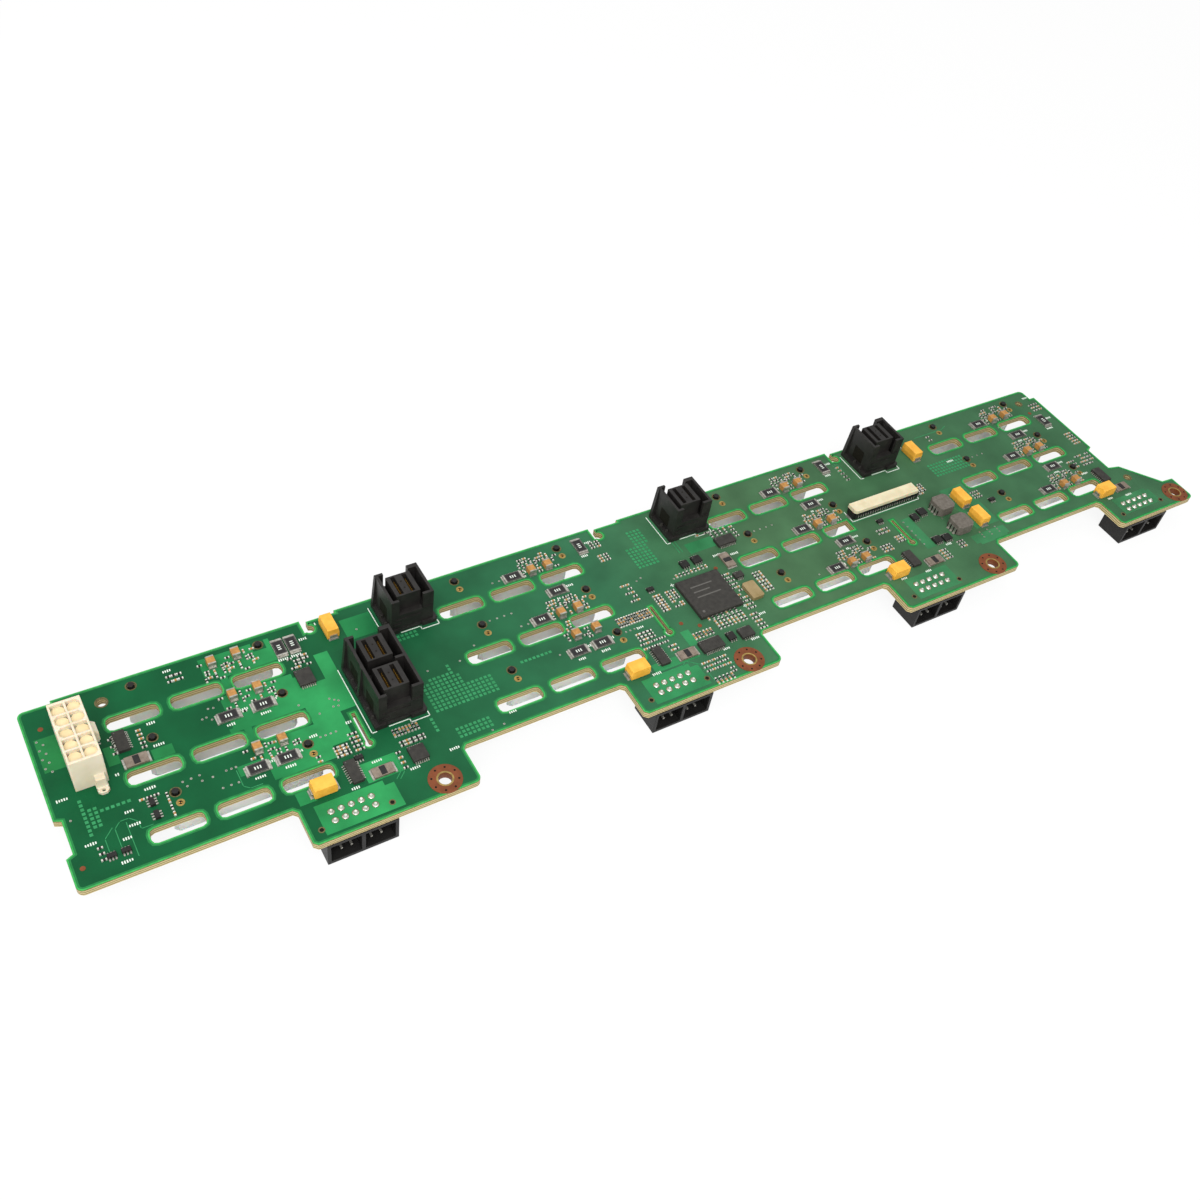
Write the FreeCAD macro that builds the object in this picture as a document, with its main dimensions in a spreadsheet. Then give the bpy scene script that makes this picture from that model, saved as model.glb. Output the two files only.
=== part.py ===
import FreeCAD, Part
import math
import os
import PartDesign
import Sketcher

# Drive backplane board: a long green circuit board with twelve hot-swap drive
# receptacles underneath, cable connectors on top and airflow slots between the
# drive rows. Millimetres. X runs along the board, Y towards its back edge, Z up.
# Every piece is drawn in the board's own coordinates (X and Y from the centre of
# the first airflow slot, Z from the board's top face) and then moved by one
# shared offset, so that the finished assembly stands on z = 0 about its middle.

doc = FreeCAD.newDocument("drive_backplane")
sheet = doc.addObject("Spreadsheet::Sheet", "sizes")

SIZES = (
    # the board and its outline
    ("board_thick", 2.4), ("board_left", -28.8), ("board_right", 372.4), ("board_back", 15.2),
    ("board_front", -49.1), ("corner_round", 2.0), ("inner_round", 1.2), ("edge_step", 1.0),
    ("edge_step_long", 9.6), ("left_recess_deep", 2.0), ("left_recess_from", -25.3),
    ("left_recess_to", -38.2), ("recess_ease", 0.9), ("tab_front", -62.4),
    ("tab_1_left", 30.3), ("tab_1_right", 81.4), ("tab_2_left", 137.4), ("tab_2_right", 190.3),
    ("tab_3_left", 245.0), ("tab_3_right", 297.4), ("tab_4_left", 351.4), ("tab_4_right", 390.8),
    ("ear_shoulder", 11.2), ("ear_tip", 5.2), ("ear_tip_rise", 0.4), ("ear_slant_in", 15.9),
    ("ear_slant_low", 25.3), ("ear_slant_high", 26.4), ("right_recess", 2.2),
    ("right_recess_to", -24.7), ("right_step", 2.4), ("right_step_long", 5.6),
    # airflow slots and the drive pitch
    ("column_pitch", 105.0), ("row_pitch", 20.5), ("slot_pitch", 18.6), ("slot_long", 15.0),
    ("slot_wide", 4.8), ("slot_round", 1.5), ("slot_ease", 0.44), ("slot_land", 3.6),
    # relief cuts
    ("relief_x", 56.9), ("relief_wide", 1.9), ("relief_deep", 5.2), ("relief_eye", 1.5),
    ("relief_eye_lift", 0.9),
    ("slit_from", -24.8), ("slit_long", 12.0), ("slit_wide", 1.1), ("slit_eye", 1.2),
    ("slit_shift", 0.2),
    # screw eyes on the tabs
    ("eye_bore", 2.0), ("eye_wall", 0.3), ("eye_pad", 5.1), ("eye_pad_thick", 0.15),
    ("eye_y", -57.5), ("eye_1_x", 71.8), ("eye_2_x", 180.0), ("eye_3_x", 287.9), ("eye_4_x", 385.4),
    # tooling holes
    ("tool_1", 1.45), ("tool_1_x", -6.4), ("tool_1_y", 8.7), ("tool_2", 1.1), ("tool_2_x", 363.0),
    ("tool_2_y", 8.8), ("tool_3", 1.2), ("tool_3_x", 373.4), ("tool_3_y", -43.4),
    # drive receptacles under the board
    ("drive_x", 22.05), ("drive_y", 9.3), ("drive_long", 44.0), ("drive_deep", 6.0),
    ("drive_tall", 9.4), ("drive_end", 1.2), ("peg_span", 38.5), ("peg_back", 1.9),
    ("peg_round", 0.95), ("peg_hole", 1.3), ("peg_proud", 0.9), ("tongue_long", 33.4),
    ("tongue_wide", 2.4), ("tongue_deep", 6.2), ("tongue_key", 1.3), ("tongue_signal", 10.6),
    ("guide_long", 2.6), ("guide_wide", 3.2), ("guide_deep", 4.0),
    # power sockets under the tabs
    ("socket_long", 21.5), ("socket_deep", 11.0), ("socket_tall", 9.4), ("socket_wall", 1.1),
    ("socket_mouth", 5.0), ("socket_rib", 1.2), ("socket_proud", 0.3),
    ("socket_1_x", 44.5), ("socket_2_x", 152.4), ("socket_3_x", 260.6), ("socket_4_x", 366.0),
    ("tail_pitch", 3.0), ("tail_thick", 0.64), ("tail_slot", 0.8), ("tail_proud", 0.7),
    ("tail_near", 5.7), ("tail_far", 8.8), ("blade_near", 3.0), ("blade_far", 6.2),
    ("blade_reach", 3.4),
    # power header on top
    ("header_x", -16.4), ("header_y", -7.6), ("header_wide", 9.0), ("header_long", 22.0),
    ("header_tall", 13.0), ("header_floor", 1.8), ("header_pitch", 4.2), ("header_cell", 3.5),
    ("header_cell_cut", 0.9), ("header_pin", 1.1), ("header_pin_gap", 0.06),
    ("header_pin_top", 8.5), ("header_pin_tail", 3.9), ("latch_long", 4.2), ("latch_out", 1.3),
    ("latch_low", 6.0), ("latch_high", 10.6), ("lug_wide", 3.2), ("lug_long", 4.0),
    ("lug_tall", 1.2), ("lug_x", 2.3), ("lug_bore", 0.5), ("lug_bevel", 0.9),
    ("post_wide", 2.8), ("post_deep", 2.0), ("post_tall", 4.6),
    # high-density cable ports on top
    ("port_wide", 16.8), ("port_pitch", 11.8), ("port_long", 13.5), ("port_tall", 14.0),
    ("port_base", 1.6), ("port_side", 1.3), ("port_wall", 0.9), ("trench_wide", 1.7),
    ("port_skin", 0.9), ("trench_deep", 9.0), ("island_wide", 7.8), ("island_from", 2.3),
    ("island_long", 8.8), ("valley_deep", 6.5), ("latch_well_wide", 2.7), ("card_slot_wide", 1.4),
    ("card_slot_long", 7.6), ("card_slot_deep", 8.0), ("card_slot_inset", 1.3),
    ("port_foot", 0.6), ("port_set_back", 0.2),
    ("port_foot_inset", 0.6), ("port_foot_1", 3.8), ("port_foot_2", 4.7), ("port_brace", 1.3),
    ("port_1_x", 60.6), ("port_1_y", -33.2), ("port_2_x", 78.8), ("port_3_x", 184.3),
    ("port_4_x", 271.6), ("port_y", -1.4),
    # flat-cable connector on top
    ("ribbon_x", 268.9), ("ribbon_y", -16.6), ("ribbon_long", 29.6), ("ribbon_deep", 4.6),
    ("ribbon_base_tall", 2.6), ("ribbon_top_tall", 1.5), ("ribbon_lap", 0.4), ("ribbon_notch", 0.8),
    # chips, cans and coils
    ("chip_x", 183.2), ("chip_y", -28.5), ("chip_side", 17.0), ("chip_tall", 1.7),
    ("chip_bevel", 0.35), ("can_x", 198.2), ("can_y", -33.2), ("can_wide", 4.7),
    ("can_long", 7.4), ("can_tall", 1.5), ("can_round", 0.7), ("coil_x", 288.6),
    ("coil_1_y", -27.3), ("coil_2_y", -37.9), ("coil_side", 7.2), ("coil_tall", 4.0),
    ("coil_cut", 1.1),
    # moulded tantalum capacitors
    ("tant_long", 7.2), ("tant_wide", 4.3), ("tant_tall", 3.9), ("tant_bevel", 0.35),
    ("tant_lift", 0.15), ("tant_lead", 0.8), ("tant_lead_wide", 2.4), ("tant_lead_tall", 1.6),
    # small surface-mount parts
    ("soic_tall", 1.2), ("fet_tall", 1.0), ("shunt_long", 6.4), ("shunt_wide", 3.5),
    ("shunt_tall", 0.8), ("bay_long", 6.3), ("bay_wide", 3.4), ("bay_tall", 0.7),
    ("cap_wide", 2.5), ("cap_long", 3.2), ("cap_tall", 2.2),
    # how far a boss runs into the wall that it grows from, and a cut past its edge
    ("fuse", 0.2), ("overrun", 1.0),
)

# Derived sizes: the shared offset that centres the part and stands it on z = 0.
DERIVED = (
    ("move_x", "=-(board_left + tab_4_right) / 2"),
    ("move_y", "=-(board_back + tab_front - socket_proud) / 2"),
    ("move_z", "=board_thick + socket_tall"),
)


def fill_sheet():
    """Write every driving size, then the sizes worked out from them."""
    for row, (name, value) in enumerate(SIZES + DERIVED, start=1):
        sheet.set("A%d" % row, name)
        sheet.set("B%d" % row, str(value))
        sheet.setAlias("B%d" % row, name)
        if row % 40 == 0:
            doc.recompute()
    doc.recompute()


# Merging the faces of this body after each cut would take most of the build, so it is left out.
UNREFINED = "circuit_board"
# An octagon's corner lies this share of its inscribed radius off each axis.
OCTAGON_SHARE = math.tan(math.pi / 8)

fill_sheet()
names = sorted((name for name, _ in SIZES + DERIVED), key=len, reverse=True)
parts = []


def tie(text):
    """Turn plain size names in an expression into references to the sheet."""
    out = ""
    word = ""
    for letter in str(text) + " ":
        if letter.isalnum() or letter in "_.":
            word += letter
        else:
            out += ("sizes." + word) if word in names else word
            out += letter
            word = ""
    return out.strip()


def value_of(text):
    """Give an expression's present value in millimetres."""
    return float(sheet.evalExpression(tie(text)))


def place(item, x="0", y="0", z="0"):
    """Put a piece at a place on the board: its own coordinates plus the shared offset."""
    item.setExpression("Placement.Base.x", tie("%s + move_x" % x))
    item.setExpression("Placement.Base.y", tie("%s + move_y" % y))
    item.setExpression("Placement.Base.z", tie("%s + move_z" % z))
    return item


def new_body(label):
    """Start a body for one piece."""
    body = doc.addObject("PartDesign::Body", label)
    body.Label = label
    return body


def new_sketch(body, name, plane="XY_Plane", lift="0"):
    """Attach an empty sketch to one of the body's own origin planes, lifted off it."""
    sketch = body.newObject("Sketcher::SketchObject", name)
    origin = [item for item in body.Origin.OriginFeatures if item.Role == plane][0]
    sketch.AttachmentSupport = [(origin, "")]
    sketch.MapMode = "FlatFace"
    sketch.setExpression("AttachmentOffset.Base.z", tie(lift))
    return sketch


def draw_loop(sketch, points):
    """Draw a closed outline whose corners are held by the sheet's sizes."""
    start = sketch.GeometryCount
    corners = [FreeCAD.Vector(value_of(across), value_of(up), 0) for across, up in points]
    count = len(corners)
    for index in range(count):
        sketch.addGeometry(Part.LineSegment(corners[index], corners[(index + 1) % count]), False)
    for index in range(count):
        after = start + (index + 1) % count
        sketch.addConstraint(Sketcher.Constraint("Coincident", start + index, 2, after, 1))
    for index, (across, up) in enumerate(points):
        for kind, text, size in (("DistanceX", across, corners[index].x),
                                 ("DistanceY", up, corners[index].y)):
            number = sketch.addConstraint(Sketcher.Constraint(kind, -1, 1, start + index, 1, size))
            sketch.setExpression("Constraints[%d]" % number, tie(text))


def draw_box(sketch, left, front, right, back):
    """Draw a rectangle from its four sides."""
    draw_loop(sketch, ((left, front), (right, front), (right, back), (left, back)))


def draw_eased_box(sketch, left, front, right, back, reach, ease):
    """Draw a rectangle whose round corners are two chords of the arc: its reach and its sagitta."""
    points = []
    for across, up, inward in ((left, front, "+"), (right, front, "-"),
                               (right, back, "-"), (left, back, "+")):
        upward = "+" if up == front else "-"
        turn = [("%s %s %s" % (across, inward, reach), up),
                ("%s %s %s" % (across, inward, ease), "%s %s %s" % (up, upward, ease)),
                (across, "%s %s %s" % (up, upward, reach))]
        points += turn if inward != upward else reversed(turn)
    draw_loop(sketch, points)


def draw_octagon(sketch, across, up, radius):
    """Draw an octagon round a centre, held by its inscribed radius."""
    near = "%.5f * %s" % (OCTAGON_SHARE, radius)
    steps = ((radius, near), (near, radius), ("-" + near, radius), ("-" + radius, near),
             ("-" + radius, "-" + near), ("-" + near, "-" + radius), (near, "-" + radius),
             (radius, "-" + near))
    draw_loop(sketch, [("%s + %s" % (across, out), "%s + %s" % (up, rise)) for out, rise in steps])


def draw_circle(sketch, across, up, radius):
    """Draw a circle held by its centre and radius."""
    centre = FreeCAD.Vector(value_of(across), value_of(up), 0)
    axis = FreeCAD.Vector(0, 0, 1)
    circle = sketch.addGeometry(Part.Circle(centre, axis, value_of(radius)), False)
    for kind, text, size in (("DistanceX", across, centre.x), ("DistanceY", up, centre.y)):
        number = sketch.addConstraint(Sketcher.Constraint(kind, -1, 1, circle, 3, size))
        sketch.setExpression("Constraints[%d]" % number, tie(text))
    number = sketch.addConstraint(Sketcher.Constraint("Radius", circle, value_of(radius)))
    sketch.setExpression("Constraints[%d]" % number, tie(radius))


def pad(body, sketch, name, length, down=False):
    """Add material on a sketch, along its normal or against it."""
    feature = body.newObject("PartDesign::Pad", name)
    feature.Profile = sketch
    feature.setExpression("Length", tie(length))
    feature.Reversed = down
    feature.Refine = body.Label != UNREFINED
    doc.recompute()
    return feature


def pocket(body, sketch, name, depth, other_way=False):
    """Cut a pocket against a sketch's normal, or along it, and see that it cuts."""
    before = body.Shape.Volume
    feature = body.newObject("PartDesign::Pocket", name)
    feature.Profile = sketch
    feature.setExpression("Length", tie(depth))
    feature.Reversed = other_way
    feature.Refine = body.Label != UNREFINED
    doc.recompute()
    if not body.Shape.Volume < before - 1e-6:
        raise ValueError("pocket %s of %s cuts nothing" % (name, body.Label))
    return feature


def pattern(body, feature, name, directions):
    """Repeat a feature along one or more sketch axes: (axis, reversed, spacing, count)."""
    repeat = body.newObject("PartDesign::MultiTransform", name)
    repeat.Originals = [feature]
    steps = []
    for number, (axis, against, spacing, count) in enumerate(directions, start=1):
        step = body.newObject("PartDesign::LinearPattern", "%s_%d" % (name, number))
        step.Direction = (feature.Profile[0], [axis])
        step.Reversed = against
        step.Mode = "Spacing"
        step.setExpression("Offset", tie(spacing))
        step.Occurrences = count
        steps.append(step)
    repeat.Transformations = steps
    repeat.Refine = body.Label != UNREFINED
    body.Tip = repeat
    doc.recompute()
    return repeat


def upright_edges(shape, spots):
    """Name the vertical edges that stand at the given spots of the plan."""
    found = []
    for x_text, y_text in spots:
        x_spot, y_spot = value_of(x_text), value_of(y_text)
        for number, edge in enumerate(shape.Edges, start=1):
            ends = [vertex.Point for vertex in edge.Vertexes]
            if all(math.hypot(end.x - x_spot, end.y - y_spot) < 1e-3 for end in ends):
                found.append("Edge%d" % number)
    return found


def ease_corners(body, kind, spots, size, name):
    """Round or bevel the vertical corners at the given spots of the plan."""
    base = body.Tip
    feature = body.newObject("PartDesign::" + kind, name)
    feature.Base = (base, upright_edges(base.Shape, spots))
    feature.setExpression("Radius" if kind == "Fillet" else "Size", tie(size))
    doc.recompute()
    return feature


def block(label, size, spot):
    """Make one plain block, its sizes and its place tied to the sheet."""
    item = doc.addObject("Part::Box", label)
    for prop, text in zip(("Length", "Width", "Height"), size):
        item.setExpression(prop, tie(text))
    return place(item, *spot)


def group(label, members):
    """Gather like loose pieces in one node, as separate solids."""
    item = doc.addObject("Part::Compound", label)
    item.Label = label
    item.Links = members
    parts.append(item)
    return item


# ---------------------------------------------------------------- circuit board
COLUMNS = range(4)
ROWS = range(3)
RELIEFS = range(3)


def board_outline():
    """List the corners of the board, anticlockwise from the front left."""
    points = [("board_left", "board_front")]
    for tab in ("1", "2", "3"):
        points += [("tab_%s_left" % tab, "board_front"), ("tab_%s_left" % tab, "tab_front"),
                   ("tab_%s_right" % tab, "tab_front"), ("tab_%s_right" % tab, "board_front")]
    points += [("tab_4_left", "board_front"), ("tab_4_left", "tab_front"),
               ("tab_4_right", "tab_front"), ("tab_4_right", "tab_front + ear_shoulder"),
               ("tab_4_right - ear_tip", "tab_front + ear_shoulder + ear_tip_rise"),
               ("tab_4_right - ear_slant_in", "tab_front + ear_slant_low"),
               ("board_right - right_recess", "tab_front + ear_slant_high"),
               ("board_right - right_recess", "right_recess_to"),
               ("board_right", "right_recess_to + recess_ease"),
               ("board_right", "board_back - right_step_long"),
               ("board_right - right_step", "board_back - right_step_long"),
               ("board_right - right_step", "board_back")]
    for number in reversed(RELIEFS):
        cut = "relief_x + %d * column_pitch + relief_wide / 2" % number
        points += [("%s + edge_step_long" % cut, "board_back"),
                   ("%s + edge_step_long" % cut, "board_back - edge_step"),
                   (cut, "board_back - edge_step"), (cut, "board_back")]
    points += [("board_left + edge_step_long", "board_back"),
               ("board_left + edge_step_long", "board_back - edge_step"),
               ("board_left", "board_back - edge_step"), ("board_left", "left_recess_from"),
               ("board_left + left_recess_deep", "left_recess_from - recess_ease"),
               ("board_left + left_recess_deep", "left_recess_to + recess_ease"),
               ("board_left", "left_recess_to")]
    return points


def make_board():
    """Cut the board: outline, airflow slots, relief cuts, screw eyes and peg holes."""
    body = new_body("circuit_board")
    sketch = new_sketch(body, "outline")
    draw_loop(sketch, board_outline())
    pad(body, sketch, "plate", "board_thick", down=True)
    outer = [("board_left", "board_front"), ("board_left", "board_back - edge_step"),
             ("board_right - right_step", "board_back"), ("tab_4_right", "tab_front"),
             ("tab_1_right", "tab_front"), ("tab_2_right", "tab_front"),
             ("tab_3_right", "tab_front")]
    ease_corners(body, "Fillet", outer, "corner_round", "outer_corners")
    inner = []
    for tab in ("1", "2", "3", "4"):
        inner += [("tab_%s_left" % tab, "board_front"), ("tab_%s_left" % tab, "tab_front")]
    inner += [("tab_%s_right" % tab, "board_front") for tab in ("1", "2", "3")]
    ease_corners(body, "Chamfer", inner, "inner_round", "inner_corners")

    # square holes for the header's pins and the sockets' tails
    sketch = new_sketch(body, "header_pin_hole")
    size = "header_pin / 2 + header_pin_gap"
    x, y = "header_x - header_pitch / 2", "header_y - 2 * header_pitch"
    draw_box(sketch, "%s - (%s)" % (x, size), "%s - (%s)" % (y, size),
             "%s + %s" % (x, size), "%s + %s" % (y, size))
    cut = pocket(body, sketch, "header_pin_cut", "board_thick")
    pattern(body, cut, "header_pin_holes", (("H_Axis", False, "header_pitch", 2),
                                            ("V_Axis", False, "header_pitch", 5)))
    for number in range(1, 5):
        sketch = new_sketch(body, "tail_holes_%d" % number)
        for column in range(5):
            for tail in ("tail_near", "tail_far"):
                x = "socket_%d_x + %d * tail_pitch" % (number, column - 2)
                y = "tab_front - socket_proud + %s" % tail
                draw_box(sketch, "%s - tail_slot / 2" % x, "%s - tail_slot / 2" % y,
                         "%s + tail_slot / 2" % x, "%s + tail_slot / 2" % y)
        pocket(body, sketch, "tail_hole_cuts_%d" % number, "board_thick")

    # break-line relief cuts at the back edge, and their slits further in
    sketch = new_sketch(body, "reliefs")
    for number in RELIEFS:
        x = "relief_x + %d * column_pitch" % number
        draw_box(sketch, "%s - relief_wide / 2" % x, "board_back - relief_deep",
                 "%s + relief_wide / 2" % x, "board_back + overrun")
        draw_box(sketch, "%s + slit_shift - slit_wide / 2" % x, "slit_from - slit_long",
                 "%s + slit_shift + slit_wide / 2" % x, "slit_from")
    pocket(body, sketch, "relief_cuts", "board_thick")
    sketch = new_sketch(body, "relief_eyes")
    for number in RELIEFS:
        x = "relief_x + %d * column_pitch" % number
        draw_circle(sketch, "%s + relief_wide / 2" % x,
                    "board_back - relief_deep + relief_eye_lift", "relief_eye")
        draw_circle(sketch, "%s + slit_shift" % x, "slit_from - slit_long", "slit_eye")
    pocket(body, sketch, "relief_eye_cuts", "board_thick")

    # round holes: screw eyes and tooling holes
    sketch = new_sketch(body, "round_holes")
    for number in range(1, 5):
        draw_circle(sketch, "eye_%d_x" % number, "eye_y", "eye_bore + eye_wall")
    for number in range(1, 4):
        draw_circle(sketch, "tool_%d_x" % number, "tool_%d_y" % number, "tool_%d" % number)
    pocket(body, sketch, "round_hole_cuts", "board_thick")

    # each drive place has three airflow slots and the holes for its receptacle's two pegs
    sketch = new_sketch(body, "drive_place")
    for number in range(3):
        middle = "%d * slot_pitch" % number
        draw_eased_box(sketch, "%s - slot_long / 2" % middle, "-slot_wide / 2",
                       "%s + slot_long / 2" % middle, "slot_wide / 2", "slot_round", "slot_ease")
    for side in ("-", "+"):
        draw_octagon(sketch, "drive_x %s peg_span / 2" % side, "drive_y + peg_back", "peg_hole")
    cut = pocket(body, sketch, "drive_place_cuts", "board_thick")
    pattern(body, cut, "drive_places", (("V_Axis", True, "row_pitch", 3),
                                        ("H_Axis", False, "column_pitch", 4)))

    # the third column's middle slot stops short, beside the flat-cable connector
    sketch = new_sketch(body, "short_slot")
    end = "2 * column_pitch + 2 * slot_pitch + slot_long / 2"
    draw_box(sketch, "%s - slot_land" % end, "-row_pitch - slot_wide / 2 - fuse",
             "%s + fuse" % end, "-row_pitch + slot_wide / 2 + fuse")
    pad(body, sketch, "slot_end_land", "board_thick", down=True)
    parts.append(place(body))


def make_screw_eyes():
    """Turn the four plated screw eyes: a barrel through the board with a pad on top."""
    for number in range(1, 5):
        body = new_body("screw_eye_%d" % number)
        sketch = new_sketch(body, "section", "XZ_Plane")
        draw_loop(sketch, (("eye_bore", "-board_thick"), ("eye_bore + eye_wall", "-board_thick"),
                           ("eye_bore + eye_wall", "0"), ("eye_pad", "0"),
                           ("eye_pad", "eye_pad_thick"), ("eye_bore", "eye_pad_thick")))
        turned = body.newObject("PartDesign::Revolution", "plating")
        turned.Profile = sketch
        turned.ReferenceAxis = (sketch, ["V_Axis"])
        turned.Angle = 360
        doc.recompute()
        parts.append(place(body, "eye_%d_x" % number, "eye_y"))


# ------------------------------------------------------------ under the board
def make_drive_receptacles():
    """Mould twelve drive receptacles: keyed tongue slot, end guides and locating pegs."""
    for column in COLUMNS:
        for row in ROWS:
            body = new_body("drive_receptacle_%d%d" % (column + 1, row + 1))
            half, deep = "drive_long / 2", "drive_deep / 2"
            sketch = new_sketch(body, "outline")
            draw_loop(sketch, (("-%s + drive_end" % half, "-" + deep),
                               ("%s - drive_end" % half, "-" + deep),
                               (half, "-%s + drive_end" % deep), (half, deep),
                               ("-" + half, deep), ("-" + half, "-%s + drive_end" % deep)))
            pad(body, sketch, "housing", "drive_tall", down=True)
            sketch = new_sketch(body, "mouth", lift="-drive_tall")
            draw_box(sketch, "-tongue_long / 2", "-tongue_wide / 2",
                     "-tongue_long / 2 + tongue_signal", "tongue_wide / 2")
            draw_box(sketch, "-tongue_long / 2 + tongue_signal + tongue_key", "-tongue_wide / 2",
                     "tongue_long / 2", "tongue_wide / 2")
            pocket(body, sketch, "tongue_slots", "tongue_deep", other_way=True)
            sketch = new_sketch(body, "guides", lift="-drive_tall")
            for side in ("-1", "1"):
                draw_box(sketch, "%s * (%s - guide_long)" % (side, half), "-guide_wide / 2",
                         "%s * (%s + overrun)" % (side, half), "guide_wide / 2")
            pocket(body, sketch, "guide_mouths", "guide_deep", other_way=True)
            sketch = new_sketch(body, "pegs")
            draw_octagon(sketch, "-peg_span / 2", "peg_back", "peg_round")
            draw_octagon(sketch, "peg_span / 2", "peg_back", "peg_round")
            pad(body, sketch, "locating_pegs", "board_thick + peg_proud")
            parts.append(place(body, "drive_x + %d * column_pitch" % column,
                               "drive_y - %d * row_pitch" % row, "-board_thick"))


def make_power_sockets():
    """Mould the four angled power sockets under the tabs, and stitch in their pins."""
    for number in range(1, 5):
        spot = ("socket_%d_x" % number, "tab_front - socket_proud", "-board_thick")
        body = new_body("power_socket_%d" % number)
        sketch = new_sketch(body, "face", "XZ_Plane")
        draw_box(sketch, "-socket_long / 2", "-socket_tall", "socket_long / 2", "0")
        pad(body, sketch, "housing", "socket_deep", down=True)
        sketch = new_sketch(body, "mouths", "XZ_Plane")
        for side in ("-1", "1"):
            draw_box(sketch, "%s * socket_rib / 2" % side, "-socket_tall + socket_wall",
                     "%s * (socket_long / 2 - socket_wall)" % side, "-socket_wall")
        pocket(body, sketch, "mouth_cuts", "socket_mouth")
        sketch = new_sketch(body, "pin_slots")
        for column in range(5):
            x = "%d * tail_pitch" % (column - 2)
            draw_box(sketch, "%s - tail_slot / 2" % x, "socket_mouth - fuse",
                     "%s + tail_slot / 2" % x, "socket_deep + overrun")
        pocket(body, sketch, "pin_slot_cuts", "blade_far + tail_slot / 2 + fuse")
        parts.append(place(body, *spot))

        pins = new_body("power_socket_pins_%d" % number)
        pins.AllowCompound = True
        for column in range(5):
            # the middle pins end at the rib's root, the others reach into the mouths
            reach = "socket_mouth - fuse" if column == 2 else "socket_mouth - blade_reach"
            side = "%d * tail_pitch - tail_thick / 2" % (column - 2)
            sketch = new_sketch(pins, "side_%d" % column, "YZ_Plane", side)
            for tail, blade in (("tail_near", "blade_near"), ("tail_far", "blade_far")):
                thick = "tail_thick / 2"
                top = "board_thick + tail_proud"
                draw_loop(sketch, ((reach, "-%s - %s" % (blade, thick)),
                                   ("%s + %s" % (tail, thick), "-%s - %s" % (blade, thick)),
                                   ("%s + %s" % (tail, thick), top),
                                   ("%s - %s" % (tail, thick), top),
                                   ("%s - %s" % (tail, thick), "-%s + %s" % (blade, thick)),
                                   (reach, "-%s + %s" % (blade, thick))))
            pad(pins, sketch, "pin_pair_%d" % column, "tail_thick")
        parts.append(place(pins, *spot))


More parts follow.
